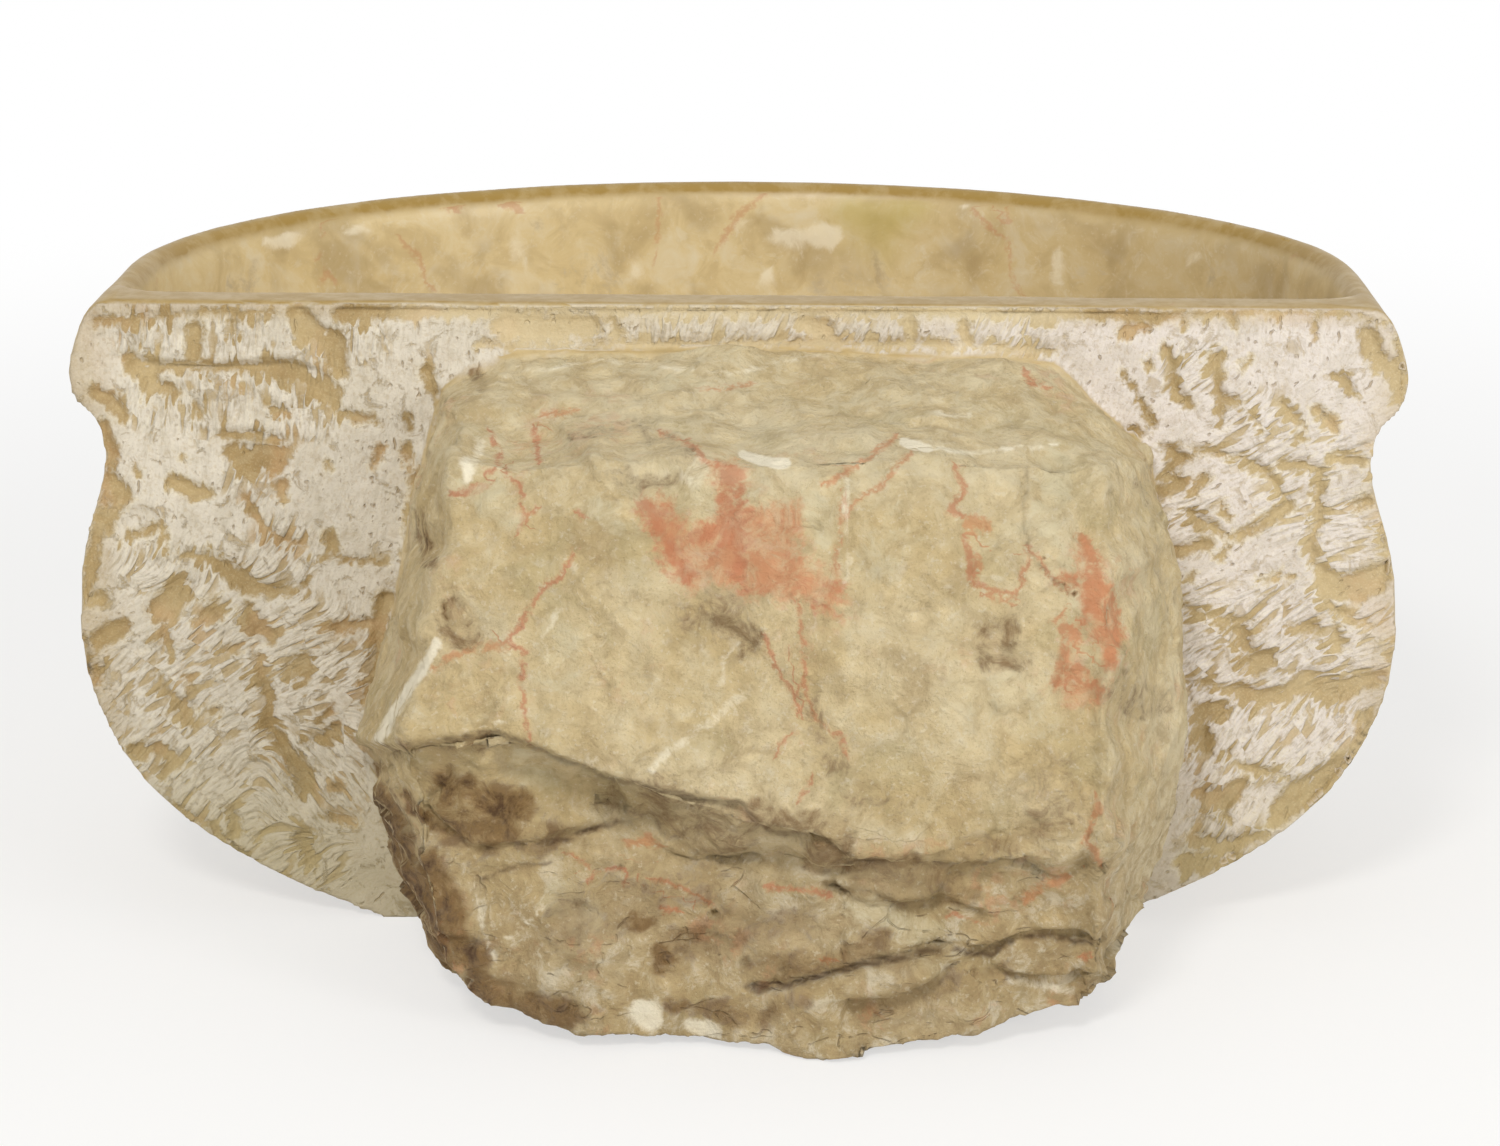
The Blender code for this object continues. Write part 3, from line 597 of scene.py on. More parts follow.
tailMarks = {
    # ledges: depth, how far the face needs to come back out, both in metres, then the line
    "ledges": [
        (0.010, 0.030, [(358, 742), (396, 745), (436, 739), (493, 730), (522, 739), (580, 765), (623, 779),
                        (666, 791), (694, 793), (740, 800), (769, 827), (800, 832)]),
        (0.007, 0.020, [(430, 815), (473, 847), (551, 839), (617, 821), (640, 815), (690, 845), (720, 860),
                        (780, 858), (836, 870)]),
        (0.005, 0.014, [(750, 824), (782, 827), (826, 836), (850, 858), (887, 862)]),
        (0.006, 0.016, [(830, 886), (871, 889), (902, 902), (929, 902), (948, 876), (973, 868),
                        (1018, 860)]),
        (0.004, 0.012, [(941, 854), (992, 829), (1030, 822)]),
        (0.006, 0.014, [(855, 999), (887, 999), (919, 985), (948, 962), (980, 956)]),
        (0.004, 0.012, [(1021, 977), (1056, 985), (1088, 978), (1110, 983)]),
        (0.003, 0.012, [(479, 877), (515, 868), (551, 862)]),
        (0.003, 0.020, [(640, 596), (690, 604), (735, 625), (765, 650), (790, 690)]),
        (0.003, 0.020, [(560, 420), (582, 440), (600, 478), (640, 490), (675, 478), (694, 470)]),
        (0.0035, 0.016, [(909, 453), (954, 454), (980, 450), (1037, 445), (1056, 448)]),
        (0.0050, 0.012, [(757, 826), (775, 822), (801, 831), (831, 838), (845, 850)]),
        (0.0050, 0.010, [(849, 864), (875, 860), (901, 862)]),
        (0.0050, 0.010, [(931, 868), (957, 866), (988, 862), (1018, 860)]),
        (0.0070, 0.014, [(840, 888), (862, 901), (892, 907), (918, 905), (944, 899), (983, 912)]),
        (0.0080, 0.016, [(979, 947), (1014, 938), (1044, 933), (1088, 940)]),
        (0.0070, 0.012, [(1010, 973), (1036, 979), (1070, 983), (1097, 977)]),
        (0.0060, 0.012, [(853, 1001), (888, 999), (918, 986), (940, 973)]),
        (0.0040, 0.010, [(449, 933), (483, 938)]),
        (0.0045, 0.018, [(1104, 674), (1098, 707), (1104, 746), (1101, 787), (1094, 841), (1094, 937),
                         (1090, 985)]),
        (0.0060, 0.016, [(596, 781), (644, 833), (679, 855), (705, 859), (740, 855)]),
        (0.0030, 0.012, [(480, 352), (540, 372), (610, 384), (680, 380), (740, 366), (800, 362),
                         (860, 372)]),
        (0.0035, 0.012, [(470, 412), (520, 404), (575, 398), (620, 404), (700, 392), (760, 384),
                         (820, 378)]),
        (0.0030, 0.010, [(860, 402), (905, 418), (960, 420), (1010, 408), (1050, 404)]),
        (0.0025, 0.010, [(462, 438), (500, 424), (545, 416)]),
    ],
    # soft dips, most of them across an arris: depth, radius in pixels, then the place
    "dips": [
        (0.007, 62, (640, 452)), (0.005, 44, (745, 436)), (0.006, 46, (515, 448)),
        (0.004, 36, (880, 452)), (0.004, 30, (985, 436)), (0.005, 34, (820, 440)),
        (0.005, 26, (1062, 470)), (0.009, 15, (430, 545)), (0.006, 24, (446, 600)),
        (0.004, 26, (452, 520)), (0.006, 22, (420, 660)), (0.006, 26, (1096, 540)),
        (0.005, 24, (1108, 620)), (0.006, 24, (1112, 720)), (0.007, 26, (1104, 800)),
        (0.006, 24, (1098, 872)), (0.006, 20, (1108, 950)), (0.004, 60, (560, 640)),
        (0.004, 70, (700, 640)), (0.003, 60, (930, 600)), (0.003, 50, (880, 760)),
        (0.004, 40, (1000, 640)), (0.006, 30, (418, 812)), (0.004, 50, (520, 800)),
        (0.004, 40, (600, 900)), (0.004, 46, (700, 930)), (0.004, 36, (520, 960)),
        (0.005, 30, (930, 930)), (0.005, 30, (1040, 900)), (0.004, 30, (850, 1030)),
        (0.005, 34, (420, 900)),
    ],
    # cracks: depth, half width in pixels, then the line
    "cracks": [
        (0.006, 4.0, [(750, 988), (791, 985), (846, 969), (893, 958), (941, 948)]),
        (0.005, 3.0, [(941, 948), (973, 950), (992, 953), (1018, 939), (1037, 934), (1091, 940)]),
        (0.004, 3.0, [(551, 839), (585, 832), (617, 821)]),
        (0.003, 3.0, [(479, 877), (515, 868), (551, 862)]),
        (0.002, 2.5, [(528, 999), (574, 993), (600, 990)]),
        (0.002, 2.5, [(1024, 467), (1027, 547), (1037, 566), (1069, 595)]),
        (0.003, 3.0, [(849, 862), (871, 859), (887, 862)]),
        (0.003, 3.5, [(358, 745), (372, 790), (392, 830)]),
    ],
    # low ridges that catch the light: height, half width in pixels, then the line
    "ridges": [
        (0.007, 10, [(1129, 611), (1126, 642), (1104, 674), (1098, 707), (1104, 746), (1101, 787),
                     (1094, 841),
                     (1094, 937)]),
        (0.005, 12, [(455, 450), (440, 560), (430, 640), (400, 700), (372, 745)]),
        (0.004, 46, [(600, 440), (650, 455), (680, 470)]),
        (0.004, 12, [(780, 1003), (840, 1000), (890, 985), (940, 972)]),
    ],
    # veins: colour share (0 orange, 1 red), half width in pixels, then the line
    "veins": [
        (1.0, 4.5, [(453, 494), (470, 490), (488, 485)]),
        (0.9, 2.5, [(488, 471), (496, 465), (499, 453), (493, 436)]),
        (0.8, 2.5, [(505, 473), (522, 485), (526, 502), (522, 519), (515, 531)]),
        (0.8, 2.5, [(522, 519), (530, 514), (537, 511)]),
        (0.9, 2.5, [(537, 430), (538, 451), (537, 459)]),
        (0.2, 2.5, [(545, 416), (558, 413), (574, 409)]),
        (0.8, 3.0, [(580, 514), (584, 516)]),
        (0.9, 2.2, [(577, 552), (557, 577), (542, 585), (534, 608), (516, 628), (506, 634), (511, 643),
                    (524, 651),
                    (522, 669), (525, 697), (524, 705), (528, 739)]),
        (0.1, 4.0, [(433, 666), (448, 657), (465, 649), (485, 646), (505, 646)]),
        (0.7, 3.5, [(660, 430), (680, 436), (697, 448), (705, 462)]),
        (0.3, 1.6, [(700, 390), (728, 386), (752, 382)]),
        (0.8, 2.4, [(763, 637), (769, 650), (778, 672), (788, 691), (795, 710)]),
        (0.5, 1.5, [(842, 502), (842, 540), (836, 566)]),
        (0.7, 2.0, [(801, 607), (803, 650), (801, 685), (814, 717), (842, 736), (846, 755)]),
        (0.7, 1.8, [(788, 736), (776, 755)]),
        (0.7, 1.8, [(811, 778), (801, 800)]),
        (0.4, 3.0, [(827, 483), (846, 470), (871, 458), (893, 435)]),
        (0.4, 1.6, [(909, 454), (878, 483), (855, 499), (846, 518)]),
        (0.7, 3.0, [(957, 467), (965, 486), (952, 505), (951, 512), (962, 518)]),
        (0.1, 9.0, [(970, 523), (990, 526)]),
        (0.7, 5.0, [(966, 540), (970, 563), (974, 582)]),
        (0.6, 2.6, [(974, 584), (992, 592), (1015, 594), (1022, 584), (1026, 558)]),
        (0.2, 5.0, [(978, 556), (980, 564)]),
        (0.6, 2.0, [(986, 598), (1011, 604)]),
        (0.6, 2.0, [(1027, 547), (1039, 560), (1045, 572), (1059, 588), (1075, 598)]),
        (0.5, 6.0, [(1080, 536), (1088, 548), (1094, 562)]),
        (0.5, 5.0, [(1059, 578), (1077, 582)]),
        (0.6, 10.0, [(1092, 572), (1094, 592), (1092, 608)]),
        (0.4, 5.5, [(1108, 590), (1120, 612), (1117, 636), (1110, 655)]),
        (0.5, 9.0, [(1066, 630), (1080, 636)]),
        (0.5, 7.0, [(1068, 640), (1062, 660), (1056, 680)]),
        (0.4, 11.0, [(1074, 672), (1092, 682)]),
        (0.4, 3.0, [(1062, 614), (1056, 623)]),
        (0.7, 3.5, [(1024, 371), (1031, 384), (1047, 386)]),
        (0.9, 2.0, [(588, 880), (591, 870), (608, 870), (626, 870), (623, 885)]),
        (0.1, 4.0, [(628, 842), (645, 843), (660, 845)]),
        (0.8, 3.0, [(662, 911), (675, 911)]),
        (0.5, 2.0, [(568, 854), (588, 865)]),
        (0.3, 4.0, [(1098, 797), (1085, 841), (1098, 860)]),
        (0.1, 4.5, [(1066, 873), (1045, 884), (1021, 896)]),
        (0.6, 3.0, [(948, 915), (970, 921)]),
        (0.7, 3.0, [(766, 886), (790, 887), (811, 889), (827, 896)]),
        (0.7, 3.0, [(823, 959), (831, 959)]),
        (0.6, 4.5, [(1085, 956), (1092, 957)]),
        (0.7, 2.0, [(650, 878), (690, 890), (712, 905)]),
    ],
    # the stained areas, as outlines
    "blush": [[
        (645, 502), (655, 499), (668, 503), (674, 514), (690, 521), (712, 518), (722, 500), (714, 478),
        (712, 464), (730, 460), (752, 466), (746, 478), (738, 500), (765, 503), (799, 503), (801, 530),
        (804, 548), (812, 562), (830, 572), (842, 592), (843, 611), (832, 617), (812, 604), (796, 596),
        (776, 597), (758, 598), (742, 600), (726, 598), (712, 594), (690, 588), (672, 578), (660, 555),
        (648, 533), (640, 516),
    ], [
        (1082, 540), (1096, 560), (1100, 580), (1118, 604), (1123, 640), (1113, 672), (1102, 664),
        (1100, 642), (1090, 624), (1080, 630), (1076, 652), (1084, 672), (1104, 688), (1100, 704),
        (1062, 704), (1056, 680), (1067, 640), (1080, 618), (1086, 600), (1076, 585), (1060, 582),
        (1058, 572), (1076, 566),
    ]],
    # the deeper stain in them: half width in pixels, then the line
    "deepBlush": [
        (8, [(652, 506), (659, 520), (656, 540)]),
        (9, [(668, 540), (676, 560), (684, 578)]),
        (9, [(690, 530), (712, 526), (735, 524)]),
        (11, [(729, 482), (733, 510), (732, 536)]),
        (13, [(728, 530), (736, 560), (734, 586)]),
        (6, [(815, 580), (826, 600)]),
        (5, [(752, 540), (775, 530)]),
    ],
    # smooth paler plates of the break: strength, half width in pixels, then the line
    "plates": [
        (0.60, 17, [(1052, 470), (1050, 500), (1046, 528)]),
        (0.50, 15, [(820, 512), (826, 540)]),
        (0.55, 20, [(492, 498), (502, 508)]),
        (0.55, 8, [(466, 468), (464, 482)]),
        (0.50, 6, [(1050, 443), (1058, 444)]),
        (0.45, 14, [(590, 506), (616, 520)]),
        (0.45, 13, [(690, 492), (704, 504)]),
        (0.40, 26, [(560, 640), (556, 670)]),
        (0.40, 13, [(1064, 552), (1066, 560)]),
        (0.45, 12, [(1072, 600), (1080, 606)]),
        (0.35, 30, [(1000, 690), (1030, 720)]),
        (0.45, 10, [(640, 375), (668, 385), (700, 386)]),
        (0.35, 9, [(560, 352), (640, 350), (720, 348)]),
        (0.35, 30, [(880, 560), (900, 520)]),
        (0.45, 18, [(860, 905), (900, 920), (930, 930)]),
        (0.40, 22, [(560, 905), (580, 920)]),
        (0.40, 18, [(520, 760), (540, 775)]),
        (0.35, 16, [(490, 700), (470, 720)]),
    ],
    # dark and brown stains, with some painted shade: strength, half width in pixels, then the line
    "stainsAndShade": [
        (1.00, 11, [(412, 806), (424, 815)]),
        (0.90, 7, [(400, 792), (410, 800), (436, 824)]),
        (0.95, 22, [(450, 786), (485, 792), (512, 808)]),
        (0.80, 20, [(440, 812), (470, 826), (505, 832)]),
        (0.55, 16, [(450, 840), (510, 840), (560, 832)]),
        (0.50, 12, [(388, 755), (420, 748), (470, 744)]),
        (0.90, 18, [(372, 785), (388, 840), (412, 890), (432, 935), (452, 962)]),
        (0.85, 20, [(430, 870), (452, 920), (480, 960)]),
        (0.80, 18, [(480, 985), (520, 1005), (560, 1020)]),
        # these two lines are painted shade on the underside below the first ledge, with some brown dirt
        (0.42, 22, [(610, 795), (660, 800), (705, 808), (738, 824)]),
        (0.42, 16, [(640, 815), (690, 832), (730, 842)]),
        (0.55, 16, [(760, 812), (800, 818), (840, 832)]),
        (0.60, 16, [(820, 846), (880, 866), (940, 878)]),
        (0.50, 13, [(950, 856), (1010, 846), (1060, 830)]),
        (0.55, 12, [(860, 884), (920, 894), (970, 892)]),
        (0.90, 8, [(638, 925), (643, 930)]),
        (0.80, 9, [(656, 955), (664, 962)]),
        (0.75, 10, [(668, 998), (676, 1003)]),
        (0.34, 14, [(1117, 682), (1140, 690), (1158, 707)]),
        # these two lines are painted shadow in the dip at the upper left, with some brown stain
        (0.60, 9, [(418, 515), (430, 545), (436, 562)]),
        (1.00, 5, [(430, 538), (434, 550)]),
        (0.50, 20, [(458, 622), (468, 628)]),
        (1.00, 4, [(452, 612), (456, 616)]),
        (0.50, 20, [(980, 640), (1000, 636), (1008, 645)]),
        (0.55, 9, [(993, 636), (1002, 642)]),
        (0.34, 26, [(694, 618), (725, 622), (742, 640)]),
        (0.16, 12, [(716, 612), (736, 626)]),
        (0.22, 10, [(1150, 480), (1160, 540), (1165, 600)]),
        (0.95, 3, [(1036, 556), (1037, 558)]),
        (0.95, 3, [(1044, 570), (1047, 575)]),
        (0.95, 3, [(1056, 587), (1058, 590)]),
        (0.95, 3, [(1069, 595), (1075, 598)]),
        (0.60, 14, [(760, 972), (820, 962), (880, 946)]),
        (0.50, 24, [(680, 945), (730, 935), (790, 925)]),
        (0.40, 30, [(560, 930), (640, 900), (700, 880)]),
        (0.50, 14, [(700, 1010), (760, 1015), (800, 1002)]),
        (0.45, 14, [(880, 1000), (940, 985), (1000, 975)]),
        (0.60, 9, [(455, 352), (470, 362), (480, 378)]),
        (0.22, 8, [(600, 476), (640, 484), (676, 478)]),
        (0.25, 14, [(580, 428), (640, 436), (690, 452)]),
        (0.35, 16, [(800, 690), (860, 800), (900, 810)]),
        (0.30, 30, [(1060, 780), (1050, 820)]),
    ],
    # pale scars and rubbed edges, some with a painted highlight: strength, half width in pixels, then the
    # line
    "scarsAndHighlights": [
        (0.9, 12, [(643, 1010), (652, 1018)]),
        (0.7, 7, [(690, 1026), (715, 1030)]),
        (0.42, 5, [(745, 697), (720, 712), (689, 736), (668, 755), (650, 772)]),
        (0.5, 2, [(476, 730), (502, 722)]),
        # from here to the line at (1048, 445), along the crest and its corner: pale scars with a painted
        # highlight on the edge
        (1.2, 5.0, [(744, 456), (770, 461), (787, 461)]),
        (1.2, 4.5, [(903, 441), (918, 446), (927, 450)]),
        (0.5, 2.5, [(930, 451), (980, 452), (1040, 448)]),
        (0.8, 6.0, [(464, 462), (468, 478)]),
        (0.8, 2.5, [(1048, 445), (1058, 445)]),
        (0.85, 5, [(436, 640), (420, 668), (400, 705), (376, 742)]),
        (0.45, 6, [(480, 445), (470, 470)]),
        (0.4, 12, [(700, 470), (690, 480)]),
        (0.35, 4, [(560, 610), (545, 640), (548, 670)]),
        (0.4, 3, [(740, 640), (725, 660), (722, 690)]),
        (0.3, 3, [(500, 376), (560, 364), (640, 362), (700, 372), (760, 368), (830, 352)]),
        (0.4, 4, [(937, 412), (955, 418), (970, 414)]),
        (0.4, 6, [(1010, 980), (1040, 984), (1070, 990)]),
        (0.5, 2.5, [(475, 878), (484, 930), (498, 960)]),
        (0.5, 2.5, [(498, 940), (520, 925), (545, 905)]),
        (0.4, 4, [(845, 480), (850, 560), (838, 600)]),
    ],
}

bowlMarks = {
    "veins": [
        (0.9, 6.0, [(436, 201), (446, 205), (458, 210)]),
        (0.8, 5.0, [(498, 203), (505, 203), (514, 206)]),
        (0.6, 2.0, [(400, 242), (409, 248), (420, 257)]),
        (0.3, 2.0, [(423, 277), (426, 284), (430, 290)]),
        (0.5, 1.5, [(324, 215), (324, 230)]),
        (0.3, 3.0, [(322, 274), (328, 276)]),
        (0.4, 1.5, [(657, 187), (656, 220), (653, 260)]),
        (0.8, 2.2, [(767, 193), (754, 201), (740, 210), (734, 220), (730, 230), (723, 243)]),
        (0.7, 2.2, [(977, 213), (984, 224), (993, 233)]),
        (0.5, 1.2, [(1007, 213), (1006, 240), (1009, 262), (1017, 287), (1027, 297)]),
    ],
    "stainsAndShade": [
        (0.7, 4, [(562, 204), (565, 204)]),
        (0.5, 6, [(536, 220), (540, 221)]),
        (0.5, 11, [(872, 272), (882, 274)]),
        (0.35, 28, [(580, 278), (606, 277)]),
        (0.35, 12, [(478, 283), (488, 284)]),
        (0.35, 12, [(825, 281), (835, 281)]),
        (0.35, 12, [(237, 277), (247, 277)]),
        (0.3, 14, [(168, 271), (182, 270)]),
        (0.45, 14, [(1080, 286), (1094, 288)]),
        (0.4, 12, [(1210, 290), (1224, 291)]),
        # painted shade along the inner lip of the rim
        (0.5, 5, [(1283, 293), (1296, 285), (1310, 280), (1326, 277), (1343, 278)]),
    ],
    # painted highlights: the shine of the polished inside, with some pale crystals
    "scarsAndHighlights": [
        (0.7, 5, [(733, 227), (760, 230), (793, 232), (837, 233)]),
        (0.5, 7, [(709, 256), (717, 258)]),
        (0.5, 7, [(746, 249), (755, 251)]),
        (0.5, 6, [(803, 243), (811, 243)]),
        (0.45, 8, [(765, 277), (775, 278)]),
        (0.4, 8, [(270, 243), (294, 238)]),
        (0.4, 6, [(352, 233), (362, 231)]),
        (0.8, 5, [(375, 249), (379, 251)]),
        (0.35, 8, [(508, 238), (518, 237)]),
        (0.35, 10, [(524, 260), (546, 258)]),
        (0.35, 9, [(632, 268), (642, 266)]),
        (0.4, 8, [(1187, 263), (1199, 261)]),
        (0.4, 7, [(1060, 248), (1074, 246)]),
        (0.35, 8, [(1106, 288), (1120, 286)]),
        (0.5, 4, [(966, 209), (970, 212)]),
    ],
    # the greenish yellow patch: strength, half width in pixels, then the line
    "moss": [
        (1.0, 26, [(855, 212), (880, 226), (907, 205)]),
    ],
}


def rise(value, low, high):
    # 0 at low, 1 at high, smooth between
    share = np.clip((value - low) / (high - low), 0, 1)
    return share * share * (3 - 2 * share)


def bell(gap, wide):
    # 1 on the line, falling off on both sides
    return np.exp(-(gap / wide) ** 2)


def toLine(points, path):
    # gap from a line less its own width there, the side of it, and how far past its ends
    gap = np.full(len(points), 1e6)
    side, past = np.ones(len(points)), np.zeros(len(points))
    for i, (start, end) in enumerate(zip(path, path[1:])):
        start, end = np.array(start, float), np.array(end, float)
        run, away = end[:2] - start[:2], points - start[:2]
        share = away @ run / (run @ run)
        held = np.clip(share, 0, 1)
        here = np.linalg.norm(away - held[:, None] * run, axis=1)
        if len(start) > 2:
            here = here - start[2] - held * (end[2] - start[2])
        over = np.abs(share - held) * np.linalg.norm(run)
        over[(share < 0) & (i > 0)] = 0
        over[(share > 1) & (i < len(path) - 2)] = 0
        near = here < gap
        gap[near] = here[near]
        side[near] = np.sign(run[0] * away[near, 1] - run[1] * away[near, 0])
        past[near] = over[near]
    return gap, side, past


def insideOutline(points, outline):
    # gap from a closed outline, over 0 inside it
    closed = outline + outline[:1]
    within = np.zeros(len(points), bool)
    for (x0, y0), (x1, y1) in zip(closed, closed[1:]):
        if y0 != y1:
            spans = (points[:, 1] < y0) != (points[:, 1] < y1)
            within ^= spans & (points[:, 0] < x0 + (points[:, 1] - y0) * (x1 - x0) / (y1 - y0))
    gap = toLine(points, closed)[0]
    return np.where(within, gap, -gap)


def meshPoints(mesh):
    # places and normals of the mesh's points
    places = np.empty(len(mesh.vertices) * 3, np.float32)
    mesh.vertices.foreach_get("co", places)
    normals = np.empty(len(mesh.vertices) * 3, np.float32)
    mesh.vertex_normals.foreach_get("vector", normals)
    return places.reshape(-1, 3).astype(float), normals.reshape(-1, 3).astype(float)


def keepPlaces(mesh, places):
    mesh.vertices.foreach_set("co", places.astype(np.float32).ravel())
    mesh.update()


def keepInBox(mesh):
    # no point stands past the solids' own box
    low, high = np.array(cadBox[0]), np.array(cadBox[1])
    keepPlaces(mesh, np.clip(meshPoints(mesh)[0], low, high))


def keepMark(mesh, name, values):
    mark = mesh.attributes.get(name) or mesh.attributes.new(name, "FLOAT", "POINT")
    mark.data.foreach_set("value", values.astype(np.float32))


# where each surface starts and where it is full, in metres
zoneLook = {
    "tail": (0.003, 0.010),
    "face": (-0.012, -0.005),
    "faceTurn": (0.35, 0.70),  # how squarely it looks back
    "bowlGap": 0.004,
    "overFloor": (-0.012, -0.004),
}


def zones(places, normals):
    # shares of the dressed face, of the broken tail and of the bowl's inside, at each point
    look, gap = stoneLook, zoneLook["bowlGap"]
    tail = rise(places[:, 1], *zoneLook["tail"])
    face = rise(places[:, 1], *zoneLook["face"]) * rise(normals[:, 1], *zoneLook["faceTurn"]) * (1 - tail)
    half = look["width"] / 2 - look["sideWall"] + gap
    deep = (look["depth"] - look["run"] - look["sideWall"] + gap) / half
    bow = np.hypot(places[:, 0], np.minimum(places[:, 1] + look["run"], 0) / deep)
    bowl = rise(half - bow, 0, gap) * rise(-look["backWall"] + gap - places[:, 1], 0, gap)
    low, high = zoneLook["overFloor"]
    return face, tail, bowl * rise(places[:, 2], look["floor"] + low, look["floor"] + high)


def evened(mesh):
    # each point moves towards the mean of its neighbours
    places, share = meshPoints(mesh)[0], stoneLook["evenShare"]
    ends = np.empty(len(mesh.edges) * 2, np.int32)
    mesh.edges.foreach_get("vertices", ends)
    ends = ends.reshape(-1, 2)
    count = np.bincount(ends.ravel(), minlength=len(places))[:, None]
    for turn in range(stoneLook["evenRounds"]):
        mean = np.empty_like(places)
        for axis in range(3):
            total = np.bincount(ends[:, 0], places[ends[:, 1], axis], len(places))
            total += np.bincount(ends[:, 1], places[ends[:, 0], axis], len(places))
            mean[:, axis] = total
        # in and back out by turns, so that the form keeps its size
        step = share if turn % 2 == 0 else -share * stoneLook["evenBack"]
        places = places + (mean / count - places) * step
    return places


# how the marks lie on the stone: lengths in pixels, edges as shares of a mark's half width
markLook = {
    "seed": 7,
    "wandering": (42, 14, 0.6),  # sizes of the wide and the close push, and the close one's share
    "frayed": 16.0,
    "steady": 5.0,
    "probe": 6,
    "farthest": 40,
    "combEdge": (1.3, 0.8),
    "stainEdge": (1.5, 0.4),
    "plateEdge": (1.2, 0.7),
    "mossEdge": (1.5, 0.1),
    "veinReach": (14, 7),
    "veinPast": 5,
    "facing": (0.02, 0.22),
}
# the dirt and painted shade under the ledges, in metres: where each part of it ends and where it is full
sootShadeLook = {
    "start": (-0.0010, 0.0004),
    "wide": (0.014, 0.001),
    "close": (0.0040, 0.0006),
    "shares": (0.4, 0.6),
    "ledge": (0.0025, 0.010),  # shallow ledges hold less of it
    "crack": 0.004,
    "past": 8,  # in pixels
    "most": 0.62,
}


def wandering(points, amount):
    # picture places pushed about by noise, which gives marks their uneven edges
    broad, narrow, part = markLook["wandering"]
    noise.seed_set(markLook["seed"])
    pushed = np.empty_like(points)
    for i, (across, down) in enumerate(points):
        wide = noise.noise_vector((across / broad, down / broad, 0.0))
        close = noise.noise_vector((across / narrow, down / narrow, 7.0))
        pushed[i] = across + amount * (wide.x + close.x * part), down + amount * (wide.y + close.y * part)
    return pushed


def hollowGap(points):
    # gap from the nearest smooth hollow of the dressed face, under 0 inside one
    gap = np.full(len(points), 1e6)
    for path in dressing["hollows"]:
        gap = np.minimum(gap, toLine(points, path)[0])
    return gap


# how the marks cut into the stone, in metres; what lies past the ends of a line is in pixels
cutLook = {
    "hollowStart": -0.0008,
    "stepRiser": (-0.0006, 0.0022),
    "stepBack": 0.020,  # how far a step needs to come back out
    "stepPast": 14,
    "ledgeRiser": (-0.0008, 0.0035),
    "ledgePast": 16,
    "lipHeight": 0.12,  # a share of the ledge's depth
    "lipOver": 0.004,  # the lip stands over the line
    "lipWide": 0.006,
    "ridgePast": 20,
    "faceLeast": 0.01,
    "tailLeast": 0.01,
    "tailTurn": -0.2,  # the marks stop where the surface turns away from the view
}


def carved(places, normals):
    # how deep each point lies under the plain form, from the marks read off the picture
    look, metres = cutLook, cameraLook["pixel"]
    face, tail, _ = zones(places, normals)
    seen = seenAt(places)
    depth = np.zeros(len(places))
    here = face > look["faceLeast"]
    points = seen[here]
    hollow = dressing["depth"] * rise(-hollowGap(points) * metres, look["hollowStart"], dressing["edge"])
    for size, path in dressing["steps"]:
        gap, side, past = toLine(points, path)
        under = side * gap * metres
        step = rise(under, *look["stepRiser"]) * np.exp(-np.maximum(under, 0) / look["stepBack"])
        hollow += size * step * bell(past, look["stepPast"])
    depth[here] += hollow * face[here]

    here = (tail > look["tailLeast"]) & (normals[:, 1] > look["tailTurn"])
    points = seen[here]
    cut = np.zeros(len(points))
    for size, back, path in tailMarks["ledges"]:
        gap, side, past = toLine(points, path)
        under, ends = side * gap * metres, bell(past, look["ledgePast"])
        cut += size * rise(under, *look["ledgeRiser"]) * np.exp(-np.maximum(under, 0) / back) * ends
        cut -= look["lipHeight"] * size * bell(under + look["lipOver"], look["lipWide"]) * ends
    for size, wide, path in tailMarks["cracks"]:
        cut += size * bell(toLine(points, path)[0], wide)
    for size, wide, spot in tailMarks["dips"]:
        cut += size * bell(np.linalg.norm(points - np.array(spot, float), axis=1), wide)
    for size, wide, path in tailMarks["ridges"]:
        gap, _, past = toLine(points, path)
        cut -= size * np.exp(-gap / wide) * bell(past, look["ridgePast"])
    depth[here] += cut * tail[here]
    return depth, face, tail


reliefLook = {
    "Shell Size": 0.062,  # shallow scoops of the break, meeting in ridges
    "Shell Depth": 0.0060,
    "Chip Size": 0.017,
    "Chip Tilt": 0.060,
    "Lump Size": 0.030,
    "Lump Height": 0.0020,
    "Grain Size": 0.0050,
    "Grain Height": 0.0010,
    "Bed Height": 0.0060,  # ledges of the broken beds, low on the tail
    "Bed Size": 0.024,
    "Rubbed Size": 0.070,
    "Rubbed Height": 0.0006,
    "Scoop Size": 0.034,  # size of one pass of the chisel, and how far its bed tilts
    "Scoop Tilt": 0.0016,
}


